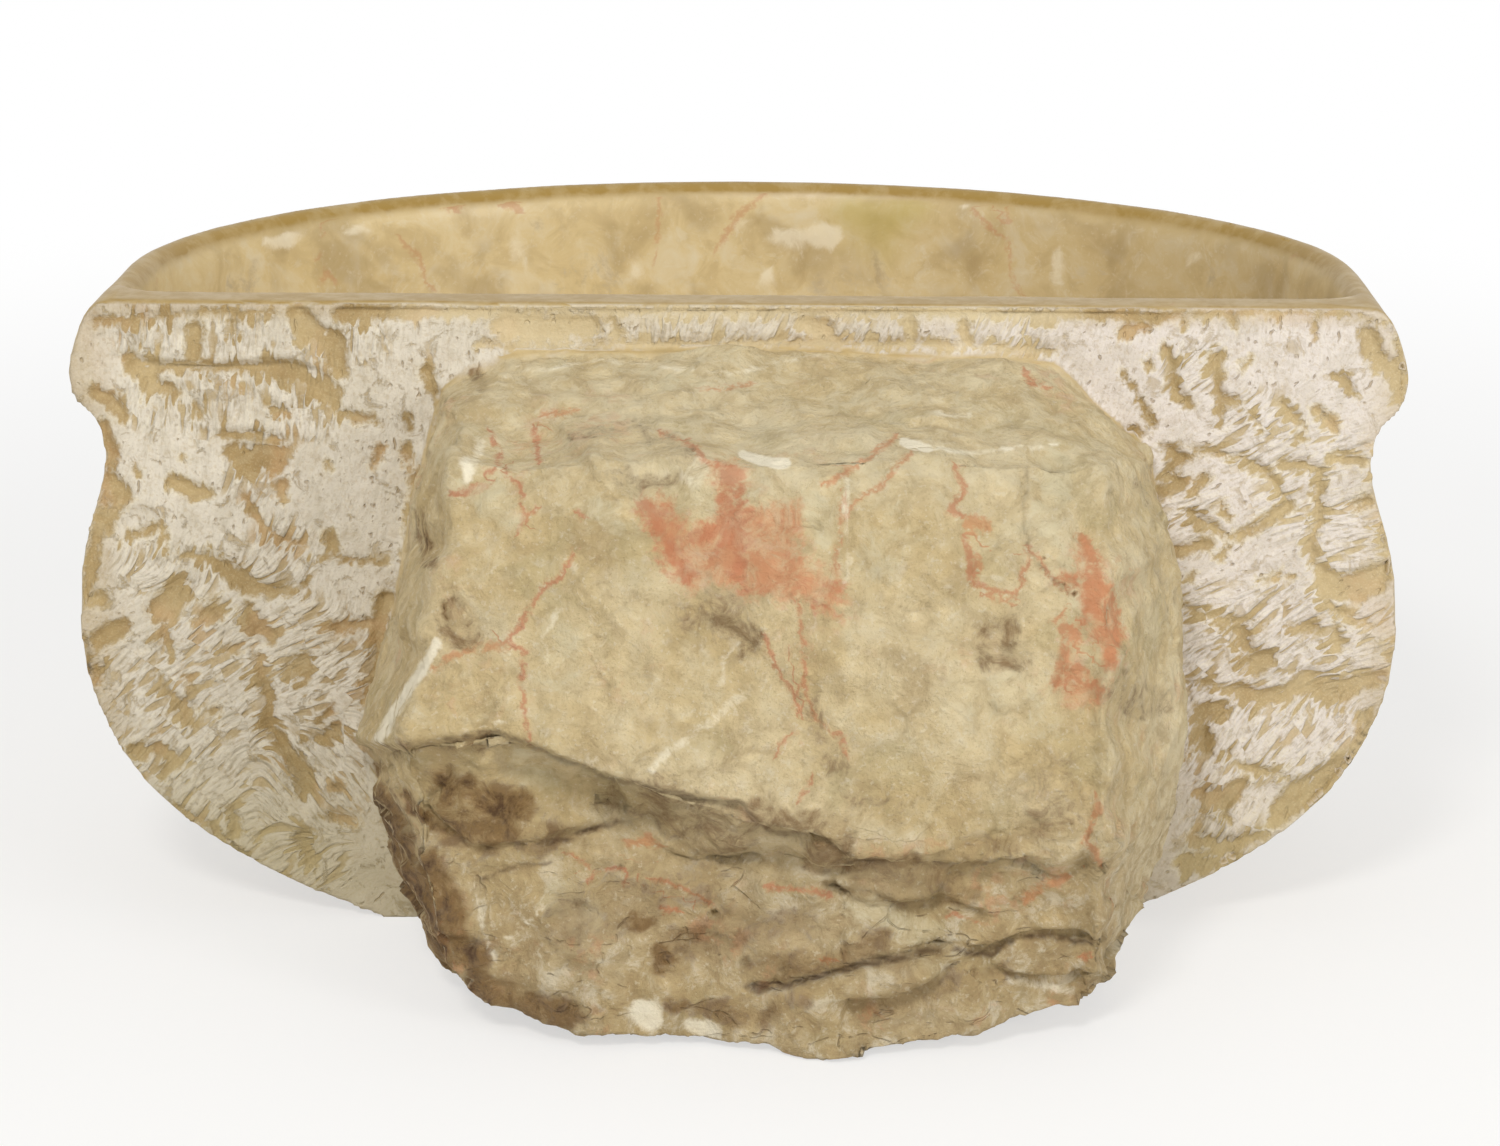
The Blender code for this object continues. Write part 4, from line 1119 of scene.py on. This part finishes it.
def reliefTree():
    tree = bpy.data.node_groups.new("stoneRelief", "GeometryNodeTree")
    tree.interface.new_socket("Geometry", in_out="INPUT", socket_type="NodeSocketGeometry")
    for name, value in reliefLook.items():
        socket = tree.interface.new_socket(name, in_out="INPUT", socket_type="NodeSocketFloat")
        socket.default_value = value
    tree.interface.new_socket("Material", in_out="INPUT", socket_type="NodeSocketMaterial")
    tree.interface.new_socket("Geometry", in_out="OUTPUT", socket_type="NodeSocketGeometry")
    given = tree.nodes.new("NodeGroupInput")
    start = Wire(tree)

    def entry(name):
        return Wire(tree, given.outputs[name])

    def mark(name):
        values = {"Name": name}
        return start.node("GeometryNodeInputNamedAttribute", {"data_type": "FLOAT"}, values, "Attribute")

    def lumps(size, detail=3.0):
        return start.cloud(place, size, detail) - 0.5

    def scoops(scale):
        # shallow and round, meeting in ridges
        values = {"Vector": squat, "Scale": scale / entry("Shell Size")}
        return start.node("ShaderNodeTexVoronoi", None, values) ** 2

    def tilted(size):
        # flat facets, each leaning its own way
        cell = start.node("ShaderNodeTexVoronoi", None, {"Vector": bent, "Scale": 1 / size}, "Position")
        tone = cell.also("Color")
        away = bent.vector("SUBTRACT", bent, cell)
        lean = tone.vector("SUBTRACT", tone, (0.5, 0.5, 0.5))
        return away.vector("DOT_PRODUCT", away, lean, "Value")

    place = start.node("GeometryNodeInputPosition")
    bent = start.wobbled(place, 28.0, 2.0, 0.022)
    squat = bent.vector("MULTIPLY", bent, (0.75, 1.0, 1.25))
    facet = (scoops(1) + scoops(2.3) * 0.3 - 0.35) * entry("Shell Depth") * 1.6
    facet = facet + tilted(entry("Chip Size")) * entry("Chip Tilt") * 3
    lump = lumps(entry("Lump Size")) * entry("Lump Height") * 2
    grain = lumps(entry("Grain Size")) * entry("Grain Height") * 2
    level = start.node("ShaderNodeSeparateXYZ", None, {"Vector": bent}, "Z")
    layer = level / entry("Bed Size") + lumps(0.09) * 3
    patch = lumps(0.05).ramp(-0.05, 0.12)
    beds = (layer.maths("FRACT", layer) - 0.5) * entry("Bed Height") * level.ramp(0.17, 0.09) * patch
    rubbed = lumps(entry("Rubbed Size"), 1.0) * entry("Rubbed Height") * 2
    scoop = tilted(entry("Scoop Size")) / entry("Scoop Size") * entry("Scoop Tilt") * 2
    tail, face = mark("tail"), mark("face")
    polished = rubbed * (1 - tail) * (1 - face)
    out = tail * (facet + lump + grain + beds) + face * (scoop + grain * 0.5) + polished
    offset = start.scaled(start.node("GeometryNodeInputNormal"), out - mark("carve"))
    moved = start.node("GeometryNodeSetPosition", None, {"Geometry": entry("Geometry"), "Offset": offset})
    whole = start.node("GeometryNodeRealizeInstances", None, {"Geometry": moved})
    done = start.node("GeometryNodeSetMaterial", None, {"Geometry": whole, "Material": entry("Material")})
    tree.links.new(done.socket, tree.nodes.new("NodeGroupOutput").inputs["Geometry"])
    return tree


def inModifier(modifier, values):
    for item in modifier.node_group.interface.items_tree:
        if item.in_out == "INPUT" and item.name in values:
            modifier[item.identifier] = values[item.name]


# what each mark says where there is none, on the scale that the material reads
plainMarks = {
    "face": 0.0,
    "tail": 0.0,
    "bowl": 0.0,
    "bruise": 0.02,  # gap from the nearest smooth hollow, in metres
    "lean": math.radians(60),
    "reach": 0.0,
    "comb": 0.0,
    "veinSide": 0.012,  # gap from the nearest vein, under 0 on one side of it
    "veinPower": 0.0,
    "veinWidth": 0.0,
    "veinTint": 0.5,
    "blush": -0.02,  # gap from the edge of a stained area, over 0 inside it
    "deep": -0.02,
    "stain": 0.0,
    "scar": 0.0,
    "moss": 0.0,
    "plate": 0.0,
    "soot": 0.0,
}


def dressedMarks(points):
    # how the claw chisel went over the dressed face
    look = markLook
    total, weight = np.zeros(len(points)), np.zeros(len(points))
    for centre, angle in dressing["lean"]:
        # the nearest of the leans counts for most
        share = 1 / (np.linalg.norm(points - np.array(centre, float), axis=1) + 6) ** 5
        total, weight = total + share * math.radians(angle), weight + share
    lean = total / weight
    # how squarely each hollow's edge crosses the strokes
    step = np.stack([np.cos(lean), -np.sin(lean)], axis=1) * look["probe"]
    reach = (hollowGap(points + step) - hollowGap(points - step)) / (2 * look["probe"])
    comb = np.zeros(len(points))
    outer, inner = look["combEdge"]
    for across, down, wide in dressing["combed"]:
        away = np.hypot(points[:, 0] - across, points[:, 1] - down)
        comb = np.maximum(comb, rise(away, wide * outer, wide * inner))
    bruise = np.minimum(hollowGap(points), look["farthest"]) * cameraLook["pixel"]
    return {"bruise": bruise, "lean": lean, "reach": np.clip(reach, -1, 1), "comb": comb}


def veinMarks(points, veins):
    # the nearest vein at each point
    metres, most = cameraLook["pixel"], plainMarks["veinSide"]
    best = np.full(len(points), 1e6)
    found = {name: np.full(len(points), plainMarks[name]) for name in plainMarks if name.startswith("vein")}
    for tint, wide, path in veins:
        gap, side, past = toLine(points, path)
        near = gap - wide < best
        best[near] = (gap - wide)[near]
        found["veinSide"][near] = np.clip((gap * side)[near] * metres, -most, most)
        power = rise(gap - wide, *markLook["veinReach"]) * bell(past, markLook["veinPast"])
        found["veinPower"][near] = power[near]
        found["veinWidth"][near] = wide * metres
        found["veinTint"][near] = tint
    return found


def strongest(points, lines, edge):
    # the strongest of the lines at each point
    outer, inner = markLook[edge]
    most = np.zeros(len(points))
    for strength, wide, path in lines:
        most = np.maximum(most, strength * rise(toLine(points, path)[0], wide * outer, wide * inner))
    return most


def sootShadeMarks(points):
    # dirt and painted shade under the overhanging ledges and in the cracks
    look = sootShadeLook
    far, near = look["shares"]
    most = np.zeros(len(points))
    for size, _, path in tailMarks["ledges"]:
        gap, side, past = toLine(points, path)
        under = side * gap * cameraLook["pixel"]
        fading = far * rise(under, *look["wide"]) + near * rise(under, *look["close"])
        dark = rise(under, *look["start"]) * fading
        most = np.maximum(most, dark * bell(past, look["past"]) * rise(size, *look["ledge"]) * look["most"])
    for size, wide, path in tailMarks["cracks"]:
        most = np.maximum(most, bell(toLine(points, path)[0], wide) * min(size / look["crack"], 1.0))
    return most


def brokenMarks(points, strays):
    # what only the broken face has: rubbed plates, soot with painted shade under the ledges, and the stained
    # areas
    metres, most = cameraLook["pixel"], -plainMarks["blush"]
    areas = [insideOutline(points, outline) for outline in tailMarks["blush"]]
    deep = np.full(len(points), plainMarks["deep"])
    for wide, path in tailMarks["deepBlush"]:
        deep = np.maximum(deep, (wide - toLine(strays, path)[0]) * metres)
    return {
        "plate": strongest(strays, tailMarks["plates"], "plateEdge"),
        "soot": sootShadeMarks(points),
        "blush": np.clip(np.max(areas, axis=0) * metres, -most, most),
        "deep": deep,
    }


def stoneMarks(mesh):
    # what the material reads, on the finished surface
    places, normals = meshPoints(mesh)
    fields = {name: np.full(len(places), value) for name, value in plainMarks.items()}
    face, tail, bowl = zones(places, normals)
    fields.update(face=face, tail=tail, bowl=bowl)
    seen = seenAt(places)

    def keep(here, found):
        for name, values in found.items():
            fields[name][here] = values

    here = face > 0.001
    keep(here, dressedMarks(seen[here]))
    broken = (tail > 0.2) & (normals[:, 1] > -0.25)
    front = (bowl > 0.3) & (places[:, 1] < -0.2)
    for here, marks in ((broken, tailMarks), (front, bowlMarks)):
        strays = wandering(seen[here], markLook["frayed"])
        points = wandering(seen[here], markLook["steady"])
        keep(here, veinMarks(points, marks["veins"]))
        keep(here, {
            "stain": strongest(strays, marks["stainsAndShade"], "stainEdge"),
            "scar": strongest(points, marks["scarsAndHighlights"], "stainEdge"),
        })
        if marks is tailMarks:
            keep(here, brokenMarks(points, strays))
        else:
            keep(here, {"moss": strongest(points, marks["moss"], "mossEdge")})

    # the photo says nothing of what turns away from its view
    away = np.array(cameraLook["place"]) - places
    facing = (normals * away).sum(axis=1) / np.linalg.norm(away, axis=1)
    facing = rise(facing, *markLook["facing"])
    for name in ("veinPower", "stain", "scar", "plate", "soot"):
        fields[name] *= facing
    for name in ("blush", "deep"):
        fields[name] += (1 - facing) * plainMarks[name]
    for name, field in fields.items():
        keepMark(mesh, name, field)


stoneColours = {
    "tan": paint(216, 197, 155),
    "honey": paint(203, 180, 132),
    "cream": paint(220, 205, 168),
    "pale": paint(229, 219, 194),
    "brown": paint(150, 124, 84),
    "dark": paint(70, 43, 17),
    "bruised": paint(220, 211, 202),
    "bruisedWarm": paint(214, 205, 188),
    "lip": paint(234, 224, 198),
    "hollow": paint(148, 121, 74),
    "hollowPale": paint(176, 152, 106),
    "chalk": paint(248, 238, 212),
    "plate": paint(214, 202, 166),
    # brown of the stains and of the painted shade placed among them
    "stain": paint(112, 78, 31),
    # dark brown of the dirt and painted shade under the ledges
    "soot": paint(80, 56, 34),
    # lighter, as painted light for the shaded inside of the bowl
    "bowl": paint(232, 210, 156),
    "rim": paint(158, 128, 60),
    "red": paint(186, 106, 72),
    "orange": paint(202, 142, 94),
    "blush": paint(204, 138, 96),
    "olive": paint(176, 162, 118),
    "ochre": paint(184, 142, 100),
    "moss": paint(190, 172, 96),
    "grey": paint(168, 156, 128),
}
# clouds of noise: lump size in metres, detail, roughness, warp
stoneClouds = {
    "broad": (0.085, 4.0, 0.55, 0.4),
    "cloudy": (0.026, 5.0, 0.62, 0.9),
    "small": (0.008, 4.0, 0.60, 0.3),
    "tiny": (0.0030, 3.0, 0.60),
    "fine": (0.0012, 2.0, 0.60),
    "rubble": (0.014, 9.0, 0.72, 0.6),
    "warmth": (0.045, 3.0, 0.50, 0.5),
}
# strokes of the claw chisel in metres: how wide, how long, detail
strokeLook = {
    "bar": (dressing["tooth"] * 0.8, 0.018, 1.0),
    "scratch": (0.0016, 0.007, 2.0),
    "dent": (0.0034, 0.0052, 1.0),
}


def stoneWires(start):
    # what the marble is made of: the place, clouds of noise and the marks on the mesh
    place = start.node("ShaderNodeTexCoord", out="Object")
    flat = start.node("ShaderNodeSeparateXYZ", None, {"Vector": place})
    at = SimpleNamespace(place=place, across=flat, back=flat.also("Y"), up=flat.also("Z"))
    for name, values in stoneClouds.items():
        setattr(at, name, start.cloud(place, *values))
    for name in plainMarks:
        setattr(at, name, start.node("ShaderNodeAttribute", {"attribute_name": name}, None, "Fac"))
    at.bent = start.wobbled(place, 22.0, 3.0, 0.03)
    at.polish = (1 - at.tail) * (1 - at.face)
    # darker and browner towards the tail's foot: partly dirt, partly painted shade
    at.soil = at.up.ramp(0.150, 0.060) * at.tail
    # hairline breaks, mostly level
    level = place.vector("MULTIPLY", at.bent, (0.55, 1.0, 1.5))
    at.hair = start.cracks(level, 0.026).ramp(0.020, 0.004) * at.cloudy.ramp(0.50, 0.60) * at.tail
    return at


def addStrokes(start, at):
    # noise drawn out along the strokes, which lean a little differently from one patch to the next
    spread = start.node("ShaderNodeCombineXYZ", None, {"X": at.across, "Y": at.up})
    values = {"Vector": spread, "Scale": 1 / 0.030}
    cell = start.node("ShaderNodeTexVoronoi", {"voronoi_dimensions": "2D"}, values, "Position")
    tone = cell.also("Color")
    turn = at.lean + (start.node("ShaderNodeSeparateColor", None, {"Color": tone}) - 0.5) * 0.35
    cosine, sine = turn.maths("COSINE", turn), turn.maths("SINE", turn)
    # strokes rise to the picture's right, which is -X
    x = start.node("ShaderNodeSeparateXYZ", None, {"Vector": cell.vector("SUBTRACT", spread, cell)})
    z = x.also("Y")
    along, across = z * sine - x * cosine, z * cosine + x * sine
    for name, (wide, long, detail) in strokeLook.items():
        drawn = start.node("ShaderNodeCombineXYZ", None, {"X": across / wide, "Y": along / long, "Z": tone})
        values = {"Vector": drawn, "Scale": 1.0, "Detail": detail}
        setattr(at, name, start.node("ShaderNodeTexNoise", None, values))


def layered(base, layers):
    # the stone's colours over the base, one after the other
    for factor, name in layers:
        base = base.blend(factor, base, stoneColours[name])
    return base


def plainColour(start, at):
    base = start.blend(at.broad.ramp(0.38, 0.64), stoneColours["honey"], stoneColours["tan"])
    # healed cracks, pale and thin
    seam = start.cracks(at.bent, 0.045).ramp(0.018, 0.0)
    healed = seam * start.cloud(at.place, 0.05).ramp(0.5, 0.65) * (0.12 + at.tail * 0.18)
    # veins of its own where none is placed
    iron = (start.cloud(at.bent, 0.11, 3.0, 0.5) - 0.5).size()
    wild = iron.ramp(0.008, 0.001) * start.cloud(at.place, 0.07).ramp(0.52, 0.66)
    placed = (at.tail * at.back.ramp(0.02, 0.05)).most(at.bowl * at.back.ramp(-0.18, -0.24))
    return layered(base, [
        (at.cloudy.ramp(0.50, 0.70) * 0.65, "cream"),
        (at.cloudy.ramp(0.47, 0.33) * 0.32, "brown"),
        (at.warmth.ramp(0.46, 0.34) * 0.35, "olive"),
        (at.small.ramp(0.55, 0.75) * 0.4, "pale"),
        (at.small.ramp(0.42, 0.28) * 0.22, "brown"),
        # the inside of the bowl painted lighter: painted light against the shade in the hollow
        (at.bowl * 0.55, "bowl"),
        (at.cloudy.ramp(0.44, 0.76) * at.bowl * 0.50, "pale"),
        (at.cloudy.ramp(0.56, 0.26) * at.bowl * 0.60, "honey"),
        (at.warmth.ramp(0.56, 0.30) * at.bowl * 0.40, "brown"),
        (at.across.ramp(0.16, -0.30) * at.bowl * 0.24, "brown"),
        (at.rubble.ramp(0.54, 0.66) * at.bowl * 0.30, "pale"),
        (at.tiny.ramp(0.60, 0.70) * at.bowl * 0.20, "pale"),
        (healed, "cream"),
        (wild * (1 - placed) * (1 - at.face) * (0.5 - at.bowl * 0.36), "red"),
    ])


def brokenColour(start, at, base):
    # the broken face: flecks and rubble grain, browner towards its foot from dirt and painted shade, and
    # painted lighter on top and at the sides
    # the top slope and the two sides of the tail painted paler: painted light
    turned = at.across.size().ramp(0.185, 0.215).most(at.up.ramp(0.262, 0.285)) * at.tail
    base = layered(base, [
        (at.soil * (0.22 + at.broad * 0.36), "brown"),
        (at.rubble.ramp(0.50, 0.64) * at.tail * (0.15 + at.soil * 0.36), "pale"),
        (at.rubble.ramp(0.52, 0.36) * at.tail * (0.28 + at.soil * 0.2), "brown"),
        (at.tiny.ramp(0.58, 0.68) * at.tail * 0.32, "pale"),
        (at.tiny.ramp(0.42, 0.32) * at.tail * 0.20, "brown"),
        (at.fine.ramp(0.40, 0.30) * at.tail * 0.28, "brown"),
        (turned * (0.15 + at.rubble.ramp(0.44, 0.60) * 0.45), "cream"),
        (at.hair * (0.05 + at.soil * 0.3), "stain"),
    ])
    # the placed veins, jagged and frayed
    fray = (at.small - 0.5) * 0.006 + (at.tiny - 0.5) * 0.007
    edge = at.veinWidth * (0.25 + at.cloudy) - (at.veinSide + fray).size()
    line = edge.ramp(-0.0018, 0.0010) * at.veinPower.ramp(0.05, 0.5) * at.small.ramp(0.32, 0.50)
    veinColour = start.blend(at.veinTint, stoneColours["orange"], stoneColours["red"])
    base = start.blend(line * (1 - at.bowl * 0.4) * 0.68, base, veinColour)
    # rubbed plates and the stained areas
    plated = (at.plate + (at.rubble - 0.5) * 1.6).ramp(0.10, 0.75) * at.plate.ramp(0.0, 0.3)
    soft = (at.cloudy - 0.5) * 0.012 + (at.small - 0.5) * 0.024 + (at.tiny - 0.5) * 0.012
    blushed = (at.blush + soft).ramp(-0.0052, 0.0058) * (0.42 + at.rubble.ramp(0.60, 0.42) * 0.42)
    loose = at.warmth.ramp(0.56, 0.70) * at.small.ramp(0.46, 0.60) * at.tail
    return layered(base, [
        (plated * 0.65, "plate"),
        (blushed, "blush"),
        ((at.deep + soft * 1.2).ramp(-0.003, 0.006) * 0.46, "red"),
        (loose * (0.24 + at.soil * 0.2), "blush"),
        (at.moss * 0.6, "moss"),
    ])


def addBruises(at):
    # the white patches of the dressed face, their bright lips, which are a painted highlight along each edge
    # with some whiter bruising, and the pits in them
    rim = at.bruise + at.reach * (at.bar - 0.5) * 0.050 * (0.3 + at.comb * 0.7)
    rim = rim + (at.small - 0.5) * 0.010 + (at.tiny - 0.5) * 0.005
    slots = (at.bar.ramp(0.47, 0.40) + at.scratch.ramp(0.38, 0.30) * 0.2) * at.comb
    slots = (slots * at.cloudy.ramp(0.36, 0.52)).least(1.0)
    white = at.face * rim.ramp(-0.0018, 0.0022) * (1 - slots * 0.85)
    holes = 0.36 + at.across.ramp(0.05, 0.25) * 0.26
    at.white = white * (1 - at.rubble.ramp(0.545, 0.64) * holes) * (1 - at.tiny.ramp(0.58, 0.68) * 0.28)
    at.pits = at.dent.ramp(0.66, 0.78) * at.cloudy.ramp(0.34, 0.50) * (1 - at.comb * 0.6)
    # the lip: a painted highlight along the edge of each white patch, partly whiter bruising
    at.lip = rim.ramp(-0.0012, 0.0004) * rim.ramp(0.0030, 0.0008) * at.broad.ramp(0.42, 0.56)


def dressedColour(start, at, base):
    # the dressed face: smooth brown hollows, and the white of the bruised patches
    bruised = start.blend(at.across.ramp(0.05, -0.2), stoneColours["bruisedWarm"], stoneColours["bruised"])
    bruised = layered(bruised, [
        (at.scratch.ramp(0.50, 0.66) * (0.15 + at.comb * 0.20), "lip"),
        (at.scratch.ramp(0.48, 0.34) * (0.22 + at.comb * 0.20), "grey"),
        (at.cloudy.ramp(0.52, 0.36) * 0.20, "grey"),
        (at.tiny.ramp(0.46, 0.34) * 0.24, "hollowPale"),
        # painted highlight on the lips
        (at.lip * 0.5, "lip"),
        (at.pits * 0.60, "brown"),
    ])
    hollow = start.blend(at.broad.ramp(0.35, 0.65), stoneColours["hollow"], stoneColours["hollowPale"])
    hollow = layered(hollow, [
        (at.warmth.ramp(0.52, 0.66) * 0.45, "ochre"),
        (at.cloudy.ramp(0.50, 0.34) * 0.45, "brown"),
        (at.rubble.ramp(0.50, 0.64) * 0.26, "cream"),
        (at.fine.ramp(0.52, 0.66) * 0.20 + at.across.ramp(-0.20, -0.34) * 0.30, "cream"),
        (at.up.ramp(0.316, 0.324) * at.across.size().ramp(0.20, 0.15) * 0.60, "cream"),
    ])
    base = start.blend(at.face * 0.85, base, hollow)
    base = start.blend(at.white * 0.97, base, bruised)
    # darker and more olive towards the foot of the face
    lowOlive = 0.25 + at.rubble * 0.3 + at.across.ramp(0.10, 0.30) * 0.20
    base = layered(base, [
        (at.face * at.up.ramp(0.130, 0.020) * lowOlive, "olive"),
        (at.face * (at.rubble - 0.5).size().ramp(0.03, 0.14) * 0.22, "hollow"),
    ])
    edgy = at.up.ramp(0.334, 0.342).most(at.across.size().ramp(0.325, 0.350)) * at.face
    return start.blend(edgy * (0.3 + at.small * 0.9) * 0.60, base, hollow)


def stainedColour(at, base):
    # stains with some painted shade, soot with painted shade in the deep places, pale scars with painted
    # highlights, and the darker band of the rim
    held = at.stain.ramp(0.0, 0.2)
    # stains, and the painted shade placed among the stain lines
    dirtAndShade = (at.stain + (at.cloudy - 0.5) * 1.2 + (at.rubble - 0.5) * 2.4).ramp(0.10, 0.90) * held
    darkest = (at.stain + (at.rubble - 0.5) * 1.6).ramp(0.82, 1.12) * held
    # pale scars on the tail, and the painted highlights in the bowl
    scarredAndLit = (at.scar * (1 + at.bowl) + (at.rubble - 0.5) * 1.6).ramp(0.1, 0.8) * at.scar.ramp(0.0, 0.3)
    # darker golden tan on the polished outside, strongest on the top of the rim
    rimShare = 0.30 + at.up.ramp(0.332, 0.343) * 0.62 + (at.cloudy - 0.5) * 1.4 + (at.small - 0.5) * 0.8
    return layered(base, [
        (dirtAndShade * (0.80 - at.bowl * 0.45), "stain"),
        (darkest * (1 - at.bowl) * 0.86, "dark"),
        # dirt and painted shade under the ledges and in the cracks
        ((at.soot * (0.6 + at.small * 0.8)).ramp(0.05, 1.0) * 0.78, "soot"),
        (scarredAndLit * (0.85 - at.bowl * 0.25), "chalk"),
        (at.polish * (1 - at.bowl) * rimShare, "rim"),
    ])


def stoneMaterial():
    made, start = newMaterial("marble")
    at = stoneWires(start)
    addStrokes(start, at)
    addBruises(at)
    base = brokenColour(start, at, plainColour(start, at))
    base = stainedColour(at, dressedColour(start, at, base))
    rough = 0.37 + at.tail * 0.27 + at.face * 0.36 + (at.small - 0.5) * 0.15
    grainy = (at.small - 0.5) * 1.0 + (at.tiny - 0.5) * 0.9 + (at.fine - 0.5) * 0.4
    grainy = grainy + (at.rubble - 0.5) * at.tail * 3.4 - at.hair * at.soil
    height = grainy * (1 - at.polish * 0.95) * (1 - at.face * 0.5)
    height = height + ((at.bar - 0.5) * 2.0 + (at.scratch - 0.5) * 0.4) * at.face * (0.15 + at.comb)
    height = height + (at.white * 0.35 - at.pits * 0.5) * at.face
    values = {"Base Color": base, "Roughness": rough, "IOR": 1.5, "Specular IOR Level": 0.35}
    finished(start, values, (height, 0.0013))
    return made


def triangles(mesh):
    return sum(len(polygon.vertices) - 2 for polygon in mesh.polygons)


def thinned(stone):
    # fewer triangles where the stone is plain
    many = triangles(stone.data)
    if many > stoneLook["triangles"]:
        group = stone.vertex_groups.new(name="plain")
        face, tail, _ = zones(*meshPoints(stone.data))
        plain = (face < 0.02) & (tail < 0.02)
        group.add([int(i) for i in np.flatnonzero(plain)], 1.0, "REPLACE")
        thin = stone.modifiers.new("thin", "DECIMATE")
        thin.ratio = stoneLook["triangles"] / many
        thin.vertex_group = group.name
        thin.use_collapse_triangulate = True
        settled(stone)
        stone.vertex_groups.clear()


def makeStone(material):
    stone = smoothForm()
    print("stone: smooth form of", len(stone.data.polygons), "faces")
    keepPlaces(stone.data, evened(stone.data))
    for name, field in zip(("carve", "face", "tail"), carved(*meshPoints(stone.data))):
        keepMark(stone.data, name, field)
    relief = stone.modifiers.new("relief", "NODES")
    relief.node_group = reliefTree()
    inModifier(relief, {**reliefLook, "Material": material})
    settled(stone)
    keepInBox(stone.data)
    print("stone: relief done")
    thinned(stone)
    keepInBox(stone.data)
    stoneMarks(stone.data)
    stone.data.shade_smooth()
    print("stone: finished with", triangles(stone.data), "triangles")
    return stone


marble = stoneMaterial()
stone = makeStone(marble)
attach(stone, "font")
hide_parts("font_stone")

fittingColours = {
    "brass": paint(196, 158, 84),
    "dull": paint(142, 110, 62),
    "tarnish": paint(96, 92, 66),
    "rubber": paint(46, 44, 42),
    "bloom": paint(92, 88, 82),
}


def brassMaterial():
    made, start = newMaterial("brass")
    place = start.node("ShaderNodeTexCoord", out="Object")
    tarnish = start.cloud(place, 0.012, 5.0, 0.6, 0.4)
    fine = start.cloud(place, 0.0012, 3.0)
    base = start.blend(tarnish.ramp(0.40, 0.66), fittingColours["brass"], fittingColours["dull"])
    base = start.blend(tarnish.ramp(0.66, 0.80) * 0.5, base, fittingColours["tarnish"])
    rough = 0.26 + tarnish.ramp(0.38, 0.70) * 0.30 + (fine - 0.5) * 0.10
    values = {"Base Color": base, "Metallic": 1.0, "Roughness": rough}
    finished(start, values, (fine * 0.4 + tarnish * 0.3, 0.0004))
    return made


def rubberMaterial():
    made, start = newMaterial("rubber")
    place = start.node("ShaderNodeTexCoord", out="Object")
    bloom = start.cloud(place, 0.006, 4.0)
    base = start.blend(bloom.ramp(0.45, 0.75) * 0.5, fittingColours["rubber"], fittingColours["bloom"])
    finished(start, {"Base Color": base, "Roughness": 0.62 + bloom * 0.2}, (bloom, 0.0003))
    return made


brass, rubber = brassMaterial(), rubberMaterial()
fittingFinish = {
    "waste_body": brass,
    "flange_washer": rubber,
    "nut_washer": rubber,
    "back_nut": brass,
    "waste_plug": brass,
    "plug_ring": brass,
}
for name, finish in fittingFinish.items():
    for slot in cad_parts[name].material_slots:
        slot.material = finish
print("fitting finished")

studioLook = {
    "floor": paint(240, 238, 233),
    "floorPale": paint(244, 243, 240),
    "floorRadius": 10.0,
    "floorGlow": (0.60, 1.0),  # near the object and far off
    "glowReach": (0.5, 2.2),
    # place, size and power of each lamp
    "lamps": {
        "key": ((0.5, 2.1, 2.2), 0.6, 37.0),
        "fill": ((-1.9, 1.8, 1.2), 1.0, 22.0),
        "top": ((0.0, -0.4, 2.4), 2.0, 4.0),
    },
    "aim": (0.0, -0.1, 0.15),
    "world": 0.53,
    "white": (1.0, 1.0, 1.0, 1.0),
}


def makeFloor():
    look = studioLook
    bm = bmesh.new()
    bmesh.ops.create_circle(bm, cap_ends=True, segments=96, radius=look["floorRadius"])
    floor = fromBmesh("floor", bm)
    made, start = newMaterial("pale floor")
    place = start.node("ShaderNodeTexCoord", out="Object")
    mottle = start.cloud(place, 0.4, 3.0)
    base = start.blend(mottle.ramp(0.3, 0.7) * 0.3, look["floor"], look["floorPale"])
    camera = start.node("ShaderNodeLightPath", out="Is Camera Ray")
    plain = start.node("ShaderNodeBsdfPrincipled", None, {"Base Color": base, "Roughness": 0.85})
    glow = start.node("ShaderNodeEmission", None, {"Color": look["white"], "Strength": 1.0})
    near, far = look["floorGlow"]
    away = start.node("ShaderNodeVectorMath", {"operation": "LENGTH"}, {0: place}, "Value")
    lit = camera * (near + away.ramp(*look["glowReach"]) * (far - near))
    mixed = start.node("ShaderNodeMixShader", None, {0: lit, 1: plain, 2: glow})
    start.node("ShaderNodeOutputMaterial", None, {"Surface": mixed})
    floor.data.materials.append(made)


def makeLamps():
    for name, (spot, size, power) in studioLook["lamps"].items():
        lamp = bpy.data.lights.new(name, "AREA")
        lamp.shape = "DISK"
        lamp.size = size
        lamp.energy = power
        aim = (Vector(studioLook["aim"]) - Vector(spot)).to_track_quat("-Z", "Y")
        newObject(name, lamp).matrix_world = Matrix.Translation(spot) @ aim.to_matrix().to_4x4()


def makeWorld():
    world = bpy.data.worlds.new("studio")
    bpy.context.scene.world = world
    world.use_nodes = True
    world.node_tree.nodes.clear()
    start = Wire(world.node_tree)
    path = start.node("ShaderNodeLightPath", out="Is Camera Ray")
    seen = path.most(path.also("Is Glossy Ray")).most(path.also("Is Transmission Ray"))
    strength = studioLook["world"] + seen * (1 - studioLook["world"])
    sky = start.node("ShaderNodeBackground", None, {"Color": studioLook["white"], "Strength": strength})
    start.node("ShaderNodeOutputWorld", None, {"Surface": sky})


makeFloor()
makeLamps()
makeWorld()
bpy.context.scene.view_settings.view_transform = "Standard"
print("studio made")
